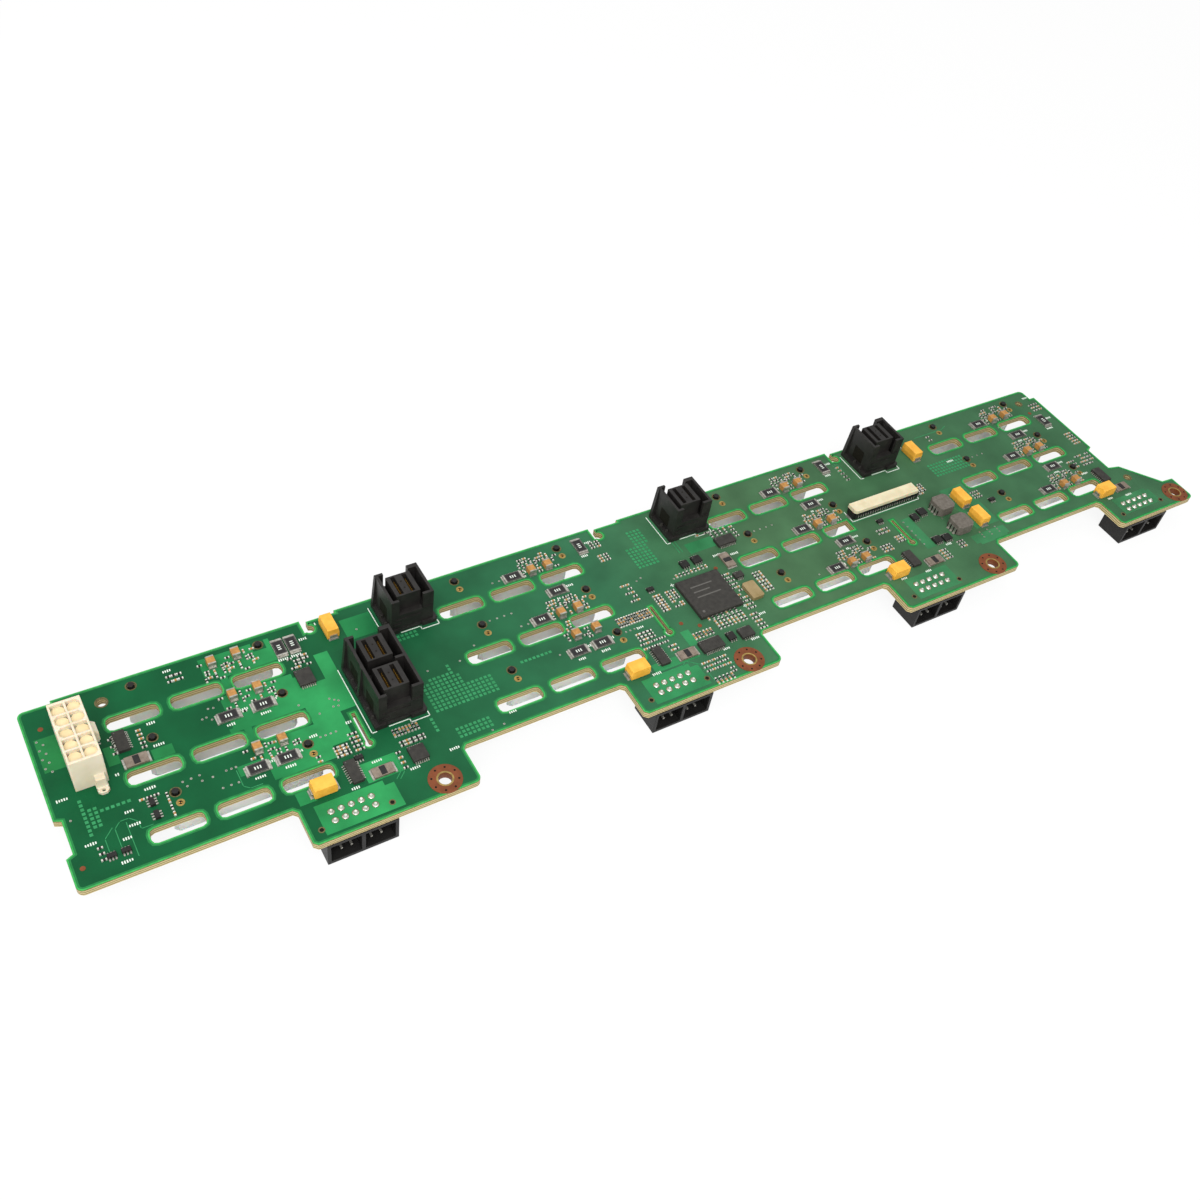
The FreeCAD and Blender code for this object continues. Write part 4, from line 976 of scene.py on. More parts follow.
        targets = Draft("fiducials", COPPER, "plated_copper")
        for x, y in self.fiducials:
            targets.disc(x, y, 0.75, 0.0, Level.PAD, 16)
        targets.make(self.board)

    def via_spots(self) -> list[Point]:
        """List the vias, the loose ones first and then the rows.

        Returns:
            Their centres in board millimetres.
        """
        spots = list(self.loose_vias)
        for x, y, across, up, count in self.via_rows:
            spots += [(x + across * step, y + up * step) for step in range(count)]
        return spots

    def silkscreen(self) -> None:
        """Print the outlines beside the ports, the controller chip and the flat-cable connector."""
        ink = Draft("silkscreen", INK, "solder_mask_green")
        line = self.ink_wide
        for node, far_up in self.port_lines:
            low, high = self.board.box(node)
            left, front, right = low.x - 1.2, low.y - 0.2, high.x
            ink.ribbon([(left, far_up), (left, front), (left + 1.4, front)], line, 0.0, Level.INK)
            ink.ribbon([(left + 5.6, front + 0.3), (right - 5.9, front + 0.3), (right - 5.9,
                        front - 1.0), (right + 0.1, front - 1.0), (right + 0.1, front + 0.6)],
                       line, 0.0, Level.INK)
        low, high = self.board.box("controller_chip")
        for x, y in ((low.x - 0.5, high.y + 0.5), (high.x + 0.5, low.y - 0.5)):
            ink.slab(x, y, 1.4, line, 0.0, Level.INK)
            ink.slab(x, y, line, 1.4, 0.0, Level.INK)
        low, high = self.board.box("ribbon_connector_base")
        ink.ribbon([(low.x - 1.2, high.y), (low.x - 1.2, low.y - 0.7), (high.x + 1.0, low.y - 0.7),
                    (high.x + 1.0, high.y)], line, 0.0, Level.INK)
        ink.make(self.board)


# ------------------------------------------------------------- parts on the board
@dataclass(frozen=True)
class Patch:
    """A rectangle of the board filled with small parts on a grid, in board millimetres.

    along says whether the parts' length runs along X, and share how much of the grid is filled.
    """

    left: float
    right: float
    front: float
    back: float
    columns: int
    rows: int
    along: bool = True
    share: float = 1.0


@dataclass
class SmallParts:
    """Chip resistors and capacitors too small for the solid model, each with its end caps."""

    board: BoardPlace
    long: float = 1.15
    wide: float = 0.6
    tall: float = 0.4
    cap_share: float = 0.27
    clear_share: float = 0.42
    ground_share: float = 0.6
    claim_share: float = 0.4
    fillet: float = 0.12
    keep: float = 0.9
    tick_pitch: float = 0.66
    tick_wide: float = 0.36
    seed: int = 11
    first_column_end: float = 50.0
    taken: list[tuple[float, float, float, float]] = field(default_factory=list)

    grids: tuple[Patch, ...] = (
        Patch(148.0, 161.0, -28.9, -25.2, 13, 3, False), Patch(165.0, 168.0, -29.0, -21.0, 2, 7),
        Patch(169.5, 174.0, -29.0, -21.0, 2, 7, True, 0.8), Patch(151.0, 157.0, -37.0, -33.0, 4, 3),
        Patch(168.0, 176.0, -43.4, -41.0, 6, 2, False),
        Patch(178.0, 190.0, -43.0, -38.6, 8, 3, False),
        Patch(164.5, 172.0, -62.0, -59.5, 5, 2, False), Patch(164.0, 174.0, -57.0, -52.0, 5, 3),
        Patch(64.5, 73.0, -38.2, -35.6, 8, 2, False), Patch(65.0, 73.0, -42.4, -40.0, 5, 2),
        Patch(47.0, 51.4, -38.4, -34.0, 3, 4), Patch(52.6, 55.4, -38.6, -31.0, 2, 5),
        Patch(192.0, 195.6, -40.0, -22.0, 2, 11, True, 0.8),
        Patch(191.0, 194.0, -49.0, -41.0, 2, 5),
        Patch(202.4, 206.4, -35.2, -26.0, 3, 6, False), Patch(254.0, 258.4, -37.4, -33.6, 3, 3),
        Patch(262.0, 265.6, -35.4, -31.8, 2, 3), Patch(285.0, 290.4, -18.4, -13.0, 3, 5, True, 0.8),
        Patch(366.0, 370.4, 2.0, 7.0, 3, 3), Patch(367.0, 370.6, -20.4, -13.0, 2, 5),
        Patch(361.0, 368.4, -33.4, -25.0, 4, 5, True, 0.8), Patch(273.0, 276.4, -49.4, -44.0, 2, 4),
        Patch(157.0, 161.6, 5.8, 9.4, 2, 3), Patch(157.0, 161.6, -1.0, 2.8, 2, 3),
        Patch(157.0, 161.0, -21.4, -12.4, 2, 5, True, 0.8), Patch(264.0, 266.8, -1.4, 7.4, 1, 5),
        Patch(191.0, 196.0, -3.6, 0.4, 3, 3, True, 0.8),
        Patch(199.0, 207.0, -5.8, -3.0, 4, 2, False),
        Patch(207.4, 210.0, -9.4, -3.0, 1, 4), Patch(47.0, 53.4, -2.6, 2.6, 4, 4, True, 0.8),
        Patch(150.0, 160.0, -41.0, -37.0, 5, 2), Patch(158.2, 161.4, -46.4, -41.4, 2, 3),
        Patch(-1.6, 1.4, -12.4, -4.6, 1, 5, True, 0.9), Patch(-7.0, -1.0, -29.4, -27.6, 3, 1),
        Patch(-0.6, 1.6, -37.6, -28.6, 1, 4, False), Patch(12.6, 17.4, 7.0, 11.0, 3, 2),
        Patch(-21.6, -18.6, -47.4, -37.6, 1, 5, True, 0.8), Patch(62.0, 64.6, -50.2, -42.6, 1, 4),
        Patch(172.0, 175.4, -60.2, -57.4, 2, 2), Patch(40.8, 43.6, -39.6, -34.6, 1, 3),
        Patch(196.4, 201.0, -4.0, 1.6, 3, 3, True, 0.6), Patch(310.0, 312.6, 0.0, 8.0, 1, 4),
        Patch(282.6, 285.4, -47.0, -43.0, 2, 3), Patch(257.6, 263.0, -29.6, -26.4, 3, 2),
        Patch(305.0, 309.4, -28.8, -24.6, 2, 3), Patch(355.0, 359.4, -31.4, -26.4, 2, 3),
        Patch(-9.4, -6.4, -12.0, -4.0, 1, 3), Patch(177.0, 190.6, -17.6, -15.8, 9, 1, False),
        Patch(176.4, 189.0, -37.8, -37.2, 7, 1, False), Patch(-5.0, 0.6, -3.2, -0.6, 4, 1, False),
    )
    # where rows of blank ticks stand besides those of the drive places
    tick_rows: tuple[Point, ...] = (
        (-24.6, -19.6), (-12.6, -38.6), (-21.6, -36.4), (-14.6, -45.4), (-2.6, -25.6),
        (-9.8, -30.6), (-9.6, -35.2), (4.2, -4.2), (4.0, -12.4), (-10.2, -17.6), (14.0, 12.4),
        (44.0, -27.8), (55.4, -27.4), (61.4, 12.2), (48.0, -49.6), (57.0, -43.6), (66.0, -50.4),
        (79.2, -49.0), (101.0, -44.2), (149.4, -50.0), (154.6, -31.2), (176.0, -50.6),
        (187.4, -50.8), (196.0, -42.6), (196.8, -13.6), (203.0, -15.4), (205.4, -22.6),
        (252.6, -50.0), (263.4, -50.6), (279.6, -43.0), (291.6, -22.6), (300.6, -22.4),
        (296.4, 6.6), (311.0, -7.6), (357.6, -49.6), (366.4, -50.8), (358.4, -34.6),
        (368.8, 10.8))

    # small parts round a drive place's capacitor: below it in the first column, above in the rest
    below: tuple[tuple[float, float, bool], ...] = (
        (0.0, -3.3, False), (0.0, -5.0, False), (-2.2, -2.6, True), (-2.3, -3.7, True),
        (2.6, -2.4, False), (2.7, -4.3, False), (3.9, -1.6, True), (3.9, -2.8, True),
        (-1.9, -5.0, True), (4.0, -4.6, False), (5.0, 0.4, True), (-3.4, 0.6, True),
        (2.5, 0.4, False), (5.1, -3.9, True), (-3.3, -5.8, False), (1.4, -6.4, True),
    )
    above: tuple[tuple[float, float, bool], ...] = (
        (-1.4, 3.0, False), (0.2, 3.2, False), (1.8, 3.0, False), (-1.6, 4.8, True),
        (0.1, 4.9, True), (2.0, 4.8, False), (-2.9, 3.4, False), (3.2, 2.2, False),
        (3.3, 0.4, True), (3.2, -1.0, True), (-2.9, 1.4, True), (0.4, 6.2, True),
        (-1.6, 6.1, True), (-2.8, -0.6, False), (4.5, 3.6, True), (4.4, -2.2, True),
    )

    def open_spot(self, x: float, y: float) -> bool:
        """Tell whether a small part fits here, clear of larger parts, slots and other parts.

        Args:
            x: the part's centre along the board.
            y: its centre across the board.

        Returns:
            True when the ground is free and the board carries it.
        """
        reach = self.long * self.clear_share
        for left, front, right, back in self.taken:
            if left - reach < x < right + reach and front - reach < y < back + reach:
                return False
        return self.board.carries(x, y, self.long * self.ground_share)

    def claim(self, x: float, y: float, along: bool) -> None:
        """Mark the ground that a small part stands on as taken.

        Args:
            x: the part's centre along the board.
            y: its centre across the board.
            along: whether its length runs along X.
        """
        wide, deep = (self.long, self.wide) if along else (self.wide, self.long)
        share = self.claim_share
        self.taken.append((x - wide * share, y - deep * share, x + wide * share,
                           y + deep * share))

    def build(self) -> None:
        """Lay every grid and the parts round each drive place's capacitors."""
        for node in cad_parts:
            if node.startswith(("circuit_board", "drive_receptacle")):
                continue
            for low, high in solid_boxes(self.board, node):
                if high.z > 0.05 and low.z < 1.0:
                    self.taken.append((low.x, low.y, high.x, high.y))
        chance = random.Random(self.seed)
        spots: list[tuple[float, float, bool]] = []
        for patch in self.grids:
            step_x = (patch.right - patch.left) / patch.columns
            step_y = (patch.back - patch.front) / patch.rows
            for column in range(patch.columns):
                for row in range(patch.rows):
                    x = patch.left + step_x * (column + 0.5)
                    y = patch.front + step_y * (row + 0.5)
                    if chance.random() <= patch.share:
                        spots.append((x, y, patch.along))
        for low, high in solid_boxes(self.board, "bay_capacitors"):
            middle = (low + high) / 2
            first = middle.x < self.first_column_end
            for across, up, along in (self.below if first else self.above):
                if chance.random() < self.keep:
                    spots.append((middle.x + across, middle.y + up, along))
        bodies = {finish.name: Draft("small_" + name, finish, slot) for name, finish, slot in (
            ("resistors", GLAZE, "resistor_black"), ("capacitors", CERAMIC, "ceramic_tan"),
            ("networks", EPOXY_DARK, "chip_epoxy"))}
        caps = Draft("small_part_caps", SOLDER, "tinned_contact")
        ticks = Draft("part_ticks", INK, "solder_mask_green")
        laid = 0
        for x, y, along in spots:
            if not self.open_spot(x, y):
                continue
            finish = chance.choices((GLAZE, CERAMIC, EPOXY_DARK), (5, 4, 1))[0]
            self.lay(bodies[finish.name], caps, x, y, along)
            self.claim(x, y, along)
            laid += 1
        self.tick_marks(ticks, chance)
        for draft in (*bodies.values(), caps, ticks):
            draft.make(self.board)
        log.info("small parts laid: %d of %d", laid, len(spots))

    def lay(self, body: Draft, caps: Draft, x: float, y: float, along: bool) -> None:
        """Lay one chip part: its body and its two metal end caps on solder.

        Args:
            body: the draft that gets the body.
            caps: the draft that gets the caps.
            x: the part's centre along the board.
            y: its centre across the board.
            along: whether its length runs along X.
        """
        reach = self.long * (0.5 - self.cap_share / 2)
        core, cap = self.long * (1 - 2 * self.cap_share), self.long * self.cap_share
        body.block((x, y), along, (0.0, 0.0), (core, self.wide), 0.0, self.tall)
        for side in (-1, 1):
            caps.block((x, y), along, (side * (reach + self.fillet), 0.0),
                       (cap + 2 * self.fillet, self.wide + 0.14), 0.0, self.tall * 1.03,
                       self.fillet)

    def tick_marks(self, ticks: Draft, chance: random.Random) -> None:
        """Print rows of blank silkscreen ticks beside the parts, with no lettering.

        Args:
            ticks: the draft that gets the marks.
            chance: the seeded source of the small variations.
        """
        rows = list(self.tick_rows)
        for low, high in solid_boxes(self.board, "bay_resistors"):
            rows.append((high.x + 2.0, (low.y + high.y) / 2 + 0.8))
            rows.append(((low.x + high.x) / 2, low.y - 1.3))
        for x, y in rows:
            count = chance.choice((4, 4, 5, 5))
            for number in range(count):
                spot = x + (number - count / 2) * self.tick_pitch
                if self.open_spot(spot, y):
                    ticks.slab(spot, y, self.tick_wide, chance.choice((0.8, 0.95, 0.7)), 0.0,
                               Level.INK)


@dataclass
class LeadedParts:
    """Leads, pads and marks of the chips, and the terminals of the power parts."""

    board: BoardPlace
    lead_wide: float = 0.34
    # shoulder, foot and riser of a lead: how far out, how long, from which height to which
    lead_legs: tuple[tuple[float, float, float, float], ...] = (
        (0.2, 0.4, 0.32, 0.55), (0.55, 0.5, 0.02, 0.2), (0.4, 0.12, 0.02, 0.55))
    # how far a mark sinks into its package and stands above it
    mark_sink: float = 0.01
    mark_rise: float = 0.015
    fillet_tall: float = 0.3
    fillet_in: float = 0.15
    # three-legged transistors: centre, and whether the legs leave at the front and back
    signal_places: tuple[tuple[float, float, bool], ...] = (
        (-3.8, -30.5, False), (-3.8, -35.0, False), (-18.0, -42.2, True), (-14.2, -42.2, True),
        (166.0, -18.4, True), (-12.0, -4.6, False), (52.4, -40.6, True), (311.0, -31.4, True),
        (262.2, -23.6, True))
    signal_lying: Point = (2.6, 1.4)
    signal_standing: Point = (1.5, 2.8)

    # chip centre, leads per side, pitch, and whether they leave at the front and back
    leaded: tuple[tuple[float, float, int, float, bool], ...] = (
        (49.4, -6.8, 7, 0.65, True), (68.4, -46.4, 7, 0.65, True), (171.6, -47.5, 11, 0.65, True),
        (202.8, -9.1, 10, 0.65, True), (185.2, -47.8, 5, 0.8, True), (197.7, -25.1, 4, 0.6, True),
        (-5.4, -7.4, 8, 0.8, False), (49.2, -44.5, 8, 0.85, False), (153.7, -44.7, 8, 0.8, False),
        (260.7, -43.7, 8, 0.8, False), (363.2, -38.4, 8, 0.8, False),
        (276.0, -27.2, 3, 0.9, True), (280.4, -26.0, 4, 0.8, True), (276.3, -39.9, 4, 0.8, True),
        (280.4, -40.4, 4, 0.8, True), (188.2, -13.0, 4, 0.8, True), (183.1, -13.2, 3, 0.9, True),
        (179.7, -47.1, 3, 0.9, True),
    )

    def build(self) -> None:
        """Make the leads, the resistor and capacitor terminals and the chip marks."""
        self.chip_leads()
        self.resistor_ends()
        self.capacitor_ends()
        self.shunt_bodies()
        self.tantalum_pads()
        self.coil_terminals()
        self.transistors()
        self.chip_marks()

    def chip_leads(self) -> None:
        """Bend a row of gull-wing leads out of two sides of each chip."""
        leads = Draft("chip_leads", TIN, "tinned_contact")
        marks = Draft("chip_dots", MARK, "chip_epoxy")
        chips = [box for node in ("power_switch_chips", "logic_chips", "power_transistors")
                 for box in solid_boxes(self.board, node)]
        for x, y, count, pitch, ends in self.leaded:
            low, high = min(chips, key=lambda box: ((box[0] + box[1]).to_2d() / 2
                                                    - Vector((x, y))).length)
            for side in (-1, 1):
                corner = high if side > 0 else low
                edge = corner.y - y if ends else corner.x - x
                for number in range(count):
                    spot = (number - (count - 1) / 2) * pitch
                    for out, long, foot, top in self.lead_legs:
                        leads.block((x, y), not ends, (edge + side * out, spot),
                                    (long, self.lead_wide), foot, top)
            marks.disc(low.x + 0.6, high.y - 0.6, 0.22, high.z - 0.01, high.z + 0.012, 10)
        leads.make(self.board)
        marks.make(self.board)

    def resistor_ends(self) -> None:
        """Cap the drive-place resistors with tin and set them on solder pads."""
        tin = Draft("bay_resistor_ends", TIN, "tinned_contact")
        line = Draft("bay_resistor_frames", MARK, "resistor_black")
        mark = Draft("bay_resistor_marks", INK, "resistor_black")
        for low, high in solid_boxes(self.board, "bay_resistors"):
            spot, along, long, wide = lay_out(low, high)
            for side in (-1, 1):
                tin.block(spot, along, (side * (long / 2 - 0.2), 0.0), (0.5, wide + 0.06), 0.0,
                          high.z + 0.03)
                tin.block(spot, along, (side * (long / 2 + 0.3), 0.0), (0.7, wide + 0.3), 0.0,
                          self.fillet_tall, self.fillet_in)
                tin.block(spot, along, (0.0, side * (wide / 2 + 0.02)), (long, 0.16), 0.0,
                          high.z * 0.9)
            inner = (long - 1.1, wide - 0.4)
            line.frame_line(*spot, *(inner if along else inner[::-1]), 0.12, high.z - 0.02,
                            high.z + self.mark_rise)
            for number in (-1, 0, 1):
                mark.block(spot, along, (number * 0.8, 0.0), (0.34, 1.05),
                           high.z - self.mark_sink, high.z + 0.02)
        for draft in (tin, line, mark):
            draft.make(self.board)

    def capacitor_ends(self) -> None:
        """Give the tall ceramic capacitors their silver end terminals and solder."""
        tin = Draft("bay_capacitor_ends", TIN, "tinned_contact")
        for low, high in solid_boxes(self.board, "bay_capacitors"):
            middle = (low + high) / 2
            wide, long = high.x - low.x, high.y - low.y
            for side in (-1, 1):
                tin.slab(middle.x, middle.y + side * (long / 2 - 0.22), wide + 0.05, 0.5, 0.0,
                         high.z + 0.025, 0.04)
                tin.slab(middle.x, middle.y + side * (long / 2 + 0.25), wide + 0.1, 0.5, 0.0,
                         0.5, 0.2)
        tin.make(self.board)

    def shunt_bodies(self) -> None:
        """Put the dark resistive element between each shunt's bright ends."""
        dark = Draft("shunt_elements", GLAZE, "resistor_black")
        tin = Draft("shunt_solder", TIN, "tinned_contact")
        for low, high in solid_boxes(self.board, "current_shunts"):
            spot, along, long, wide = lay_out(low, high)
            dark.block(spot, along, (0.0, 0.0), (long * 0.28, wide * 0.86), high.z - 0.05,
                       high.z + 0.12, 0.06)
            for side in (-1, 1):
                tin.block(spot, along, (side * (long / 2 + 0.3), 0.0), (0.7, wide + 0.3), 0.0,
                          self.fillet_tall, self.fillet_in)
        dark.make(self.board)
        tin.make(self.board)

    def tantalum_pads(self) -> None:
        """Reflow solder round the folded leads of the moulded capacitors."""
        tin = Draft("tantalum_solder", TIN, "tinned_contact")
        for low, high in solid_boxes(self.board, "tantalum_leads"):
            middle = (low + high) / 2
            wide, deep = high.x - low.x, high.y - low.y
            tin.slab(middle.x, middle.y, wide + 0.9, deep + 0.9, 0.0, 0.32, 0.25)
        tin.make(self.board)

    def coil_terminals(self) -> None:
        """Fold the flat winding's tin terminals down two sides of each power coil."""
        tin = Draft("coil_terminals", TIN, "tinned_contact")
        dark = Draft("coil_shadow_gaps", BORE, "coil_ferrite")
        for node in ("power_coil_1", "power_coil_2"):
            low, high = self.board.box(node)
            middle = (low + high) / 2
            for side in (-1, 1):
                edge = low.x if side < 0 else high.x
                for number in (-1, 0, 1):
                    tin.slab(edge + side * 0.12, middle.y + number * 1.5, 0.3, 0.9, 0.0,
                             high.z * 0.62)
                    tin.slab(edge + side * 0.4, middle.y + number * 1.5, 0.9, 1.0, 0.0, 0.22)
                dark.slab(edge + side * 0.06, middle.y, 0.14, 4.6, 0.3, high.z * 0.56)
        tin.make(self.board)
        dark.make(self.board)

    def transistors(self) -> None:
        """Add the small three-legged transistors with their legs on both sides."""
        body = Draft("signal_transistors", EPOXY_DARK, "chip_epoxy")
        legs = Draft("signal_transistor_legs", TIN, "tinned_contact")
        for x, y, along in self.signal_places:
            wide, deep = self.signal_lying if along else self.signal_standing
            body.slab(x, y, wide, deep, 0.1, 1.0, 0.12)
            for number in (-1, 0, 1):
                if along:
                    legs.slab(x + number * 0.85, y - 1.05, 0.5, 0.95, 0.0, 0.3, 0.06)
                    legs.slab(x + number * 0.85, y + 0.95, 0.45, 0.6, 0.0, 0.3, 0.06)
                else:
                    legs.slab(x - 1.05, y + number * 0.9, 0.9, 0.45, 0.0, 0.3, 0.06)
                    legs.slab(x + 1.05, y + number * 0.9, 0.9, 0.45, 0.0, 0.3, 0.06)
        body.make(self.board)
        legs.make(self.board)

    def chip_marks(self) -> None:
        """Mark the controller chip with a corner dot and blank bars, and trim the crystal can."""
        marks = Draft("controller_marks", MARK, "chip_epoxy")
        low, high = self.board.box("controller_chip")
        sink, rise = high.z - self.mark_sink, high.z + self.mark_rise
        marks.disc(low.x + 2.0, low.y + 2.0, 0.5, sink, rise, 16)
        for number, long in enumerate((8.6, 6.4, 9.4)):
            marks.slab(low.x + 3.4 + long / 2, high.y - 4.4 - number * 2.3, long, 0.5, sink, rise)
        marks.make(self.board)
        low, high = self.board.box("crystal_can")
        lid = Draft("crystal_lid", LID, "can_gold")
        middle = (low + high) / 2
        lid.slab(middle.x, middle.y, high.x - low.x - 1.0, high.y - low.y - 1.0, high.z - 0.02,
                 high.z + 0.05, 0.1)
        lid.make(self.board)


# ---------------------------------------------------------------------- connectors
@dataclass
class Contacts:
    """What the connectors carry: contacts, solder joints, cell linings and small mouldings."""

    board: BoardPlace
    # cable ports: node and places, their pitch, the foot in front of the housing, its height, the
    # card slots and their contacts, and where the small mouldings sit
    ports: tuple[tuple[str, int], ...] = (
        ("cable_port_double", 2), ("cable_port_1", 1), ("cable_port_2", 1), ("cable_port_3", 1))
    port_pitch: float = 11.8
    port_tall: float = 14.0
    port_foot: float = 0.6
    slot_from: float = 3.3
    slot_left: tuple[float, float] = (5.2, 9.0)
    slot_gap: float = 1.4
    slot_contacts: int = 10
    island_middle: float = 7.8
    dimples: Point = (5.1, 7.9)
    side_nubs: Point = (3.2, 6.6)
    contact_sunk: tuple[float, float] = (7.8, 2.2)
    contact_pitch: float = 0.75
    contact_wide: float = 0.42
    # drive receptacles: the two groups of contacts, first place and count, and their pitch
    drive_rows: tuple[tuple[float, int], ...] = ((-16.1, 7), (-4.0, 15))
    drive_pitch: float = 1.27
    underside: float = -2.4
    socket_peg: float = 10.5
    peg_radius: float = 0.62
    ribbon_count: int = 24
    cell_wide: float = 3.44
    cell_key: float = 0.9
    cell_depth: float = 1.3

    def build(self) -> None:
        """Make every connector's contacts, solder joints and mouldings."""
        self.port_contacts()
        self.port_trim()
        self.receptacle_contacts()
        self.receptacle_leads()
        self.socket_solder()
        self.header_solder()
        self.header_cells()
        self.ribbon_contacts()
        self.eye_dressing()

    def port_contacts(self) -> None:
        """Line both walls of each card slot with contacts below the rim."""
        gold = Draft("port_contacts", GOLD, "tinned_contact")
        deep, shallow = self.contact_sunk
        for node, count in self.ports:
            low = self.board.box(node)[0]
            for number in range(count):
                start = low.y + self.port_foot + number * self.port_pitch + self.slot_from
                for slot in self.slot_left:
                    for reach in (0.1, self.slot_gap - 0.1):
                        for step in range(self.slot_contacts):
                            gold.slab(low.x + slot + reach, start + step * self.contact_pitch,
                                      0.14, self.contact_wide, self.port_tall - deep,
                                      self.port_tall - shallow)
        gold.make(self.board)

    def port_trim(self) -> None:
        """Add the ports' small moulded details: rim beads and side nubs, with painted shade for the
        island dimples and the wall recesses.
        """
        trim = Draft("port_mouldings", LCP, "port_black")
        shade = Draft("port_dimple_and_recess_shade", BORE, "port_black")
        nub = Draft("port_side_nubs", EPOXY, "port_black")
        for node, count in self.ports:
            low, high = self.board.box(node)
            front, tall = low.y + self.port_foot, high.z
            for number in range(count):
                base = front + number * self.port_pitch
                # a dark square painted as the shade down in each island dimple
                for reach in self.dimples:
                    shade.slab(low.x + self.island_middle, base + reach, 0.5, 0.5, tall - 0.01,
                               tall + 0.01)
                for reach in self.side_nubs:
                    nub.slab(low.x + 0.7, base + reach, 0.9, 0.8, 1.6, 2.6, 0.15)
                # a thin dark sheet painted as the shadow in the left wall's recess
                shade.slab(low.x + 1.28, base + 6.6, 0.06, 5.2, 3.0, 8.2)
            trim.slab((low.x + high.x) / 2 - 1.4, front + 0.12, 8.6, 0.34, 5.2, 5.7)
            trim.slab(low.x + 3.4, front + 0.12, 2.8, 0.4, 3.2, 3.7)
            trim.slab(high.x - 3.2, front + 0.12, 2.4, 0.4, 7.4, 7.9)
        for draft in (trim, shade, nub):
            draft.make(self.board)

    def receptacle_contacts(self) -> None:
        """Line the tongue slots of the drive receptacles with gold contacts."""
        gold = Draft("receptacle_contacts", GOLD, "tinned_contact")
        for column in range(4):
            for row in range(3):
                low, high = self.board.box("drive_receptacle_%d%d" % (column + 1, row + 1))
                middle = (low + high) / 2
                for first, count in self.drive_rows:
                    for number in range(count):
                        x = middle.x + first + number * self.drive_pitch
                        for side in (-1, 1):
                            gold.slab(x, middle.y + side * 1.12, 0.5, 0.2, low.z + 0.9,
                                      low.z + 5.8)
        gold.make(self.board)

    def receptacle_leads(self) -> None:
        """Solder the receptacles' surface-mount leads to the board's underside."""
        tin = Draft("receptacle_leads", TIN, "tinned_contact")
        for column in range(4):
            for row in range(3):
                low, high = self.board.box("drive_receptacle_%d%d" % (column + 1, row + 1))
                middle_x = (low.x + high.x) / 2
                for first, count in self.drive_rows:
                    for number in range(count):
                        tin.slab(middle_x + first + number * self.drive_pitch, low.y - 0.5,
                                 0.45, 1.1, self.underside - 0.25, self.underside)
        tin.make(self.board)

    def socket_solder(self) -> None:
        """Round the solder up each socket tail from its pad, and ring the sockets' pegs."""
        solder = Draft("socket_solder", SOLDER, "tinned_contact")
        pads = Draft("socket_pads", RING, "plated_copper")
        holes = Draft("socket_peg_holes", BORE, "plated_copper")
        for number in range(1, 5):
            for low, high in solid_boxes(self.board, "power_socket_pins_%d" % number):
                if high.z <= 0:
                    continue
                x, y = (low.x + high.x) / 2, high.y - 0.32
                pads.disc(x, y, 1.05, 0.0, 0.04, 16)
                solder.dome(x, y, 0.92, 0.0, high.z + 0.08, 14, 0.42)
            low, high = self.board.box("power_socket_%d" % number)
            middle_x, back = (low.x + high.x) / 2, low.y + 4.4
            for side in (-1, 1):
                x = middle_x + side * self.socket_peg
                pads.ring(x, back, 1.0, self.peg_radius, 0.0, 0.05, 18)
                holes.disc(x, back, self.peg_radius, 0.0, 0.035, 14)
        for draft in (solder, pads, holes):
            draft.make(self.board)

    def header_solder(self) -> None:
        """Round the solder down each header pin under the board."""
        solder = Draft("header_solder", SOLDER, "tinned_contact")
        for low, high in solid_boxes(self.board, "power_header_pins"):
            x, y = (low.x + high.x) / 2, (low.y + high.y) / 2
            start = len(solder.corners)
            solder.dome(x, y, 1.15, 0.0, self.underside - low.z - 0.1, 14, 0.62)
            for corner in solder.corners[start:]:
                corner.z = self.underside - corner.z
        solder.make(self.board)

    def header_cells(self) -> None:
        """Close each keyed cell of the power header a little below its rim with a pale lining,
        painted beige for the light that bleeds through the nylon.
        """
        lining = Draft("header_cell_linings", NYLON_CELL_GLOW, "header_ivory")
        top = self.board.box("power_header")[1].z
        half, key = self.cell_wide / 2, self.cell_wide / 2 - self.cell_key
        for low, high in solid_boxes(self.board, "power_header_pins"):
            x, y = (low.x + high.x) / 2, (low.y + high.y) / 2
            outline = [(x - key, y - half), (x + key, y - half), (x + half, y - key),
                       (x + half, y + key), (x + key, y + half), (x - key, y + half),
                       (x - half, y + key), (x - half, y - key)]
            lining.prism(outline, top - self.cell_depth - 0.4, top - self.cell_depth)
        lining.make(self.board)

    def ribbon_contacts(self) -> None:
        """Give the flat-cable connector its two rows of contacts, its ears and their solder."""
        low, high = self.board.box("ribbon_connector_base")
        tin = Draft("ribbon_contacts", TIN, "tinned_contact")
        dark = Draft("ribbon_ears", PBT, "ribbon_black")
        step = (high.x - low.x - 3.0) / (self.ribbon_count - 1)
        for number in range(self.ribbon_count):
            x = low.x + 1.5 + number * step
            tin.slab(x, high.y + 0.5, 0.45, 1.0, 0.0, 0.35)
            tin.slab(x, low.y - 0.08, 0.4, 0.2, 0.5, 1.5)
        for side, edge in ((-1, low.x), (1, high.x)):
            dark.slab(edge + side * 0.45, (low.y + high.y) / 2 - 0.4, 1.1, 3.2, 0.0, 2.3, 0.1)
            tin.slab(edge + side * 1.2, (low.y + high.y) / 2 - 0.2, 1.2, 2.2, 0.0, 0.3, 0.1)
        tin.make(self.board)
        dark.make(self.board)

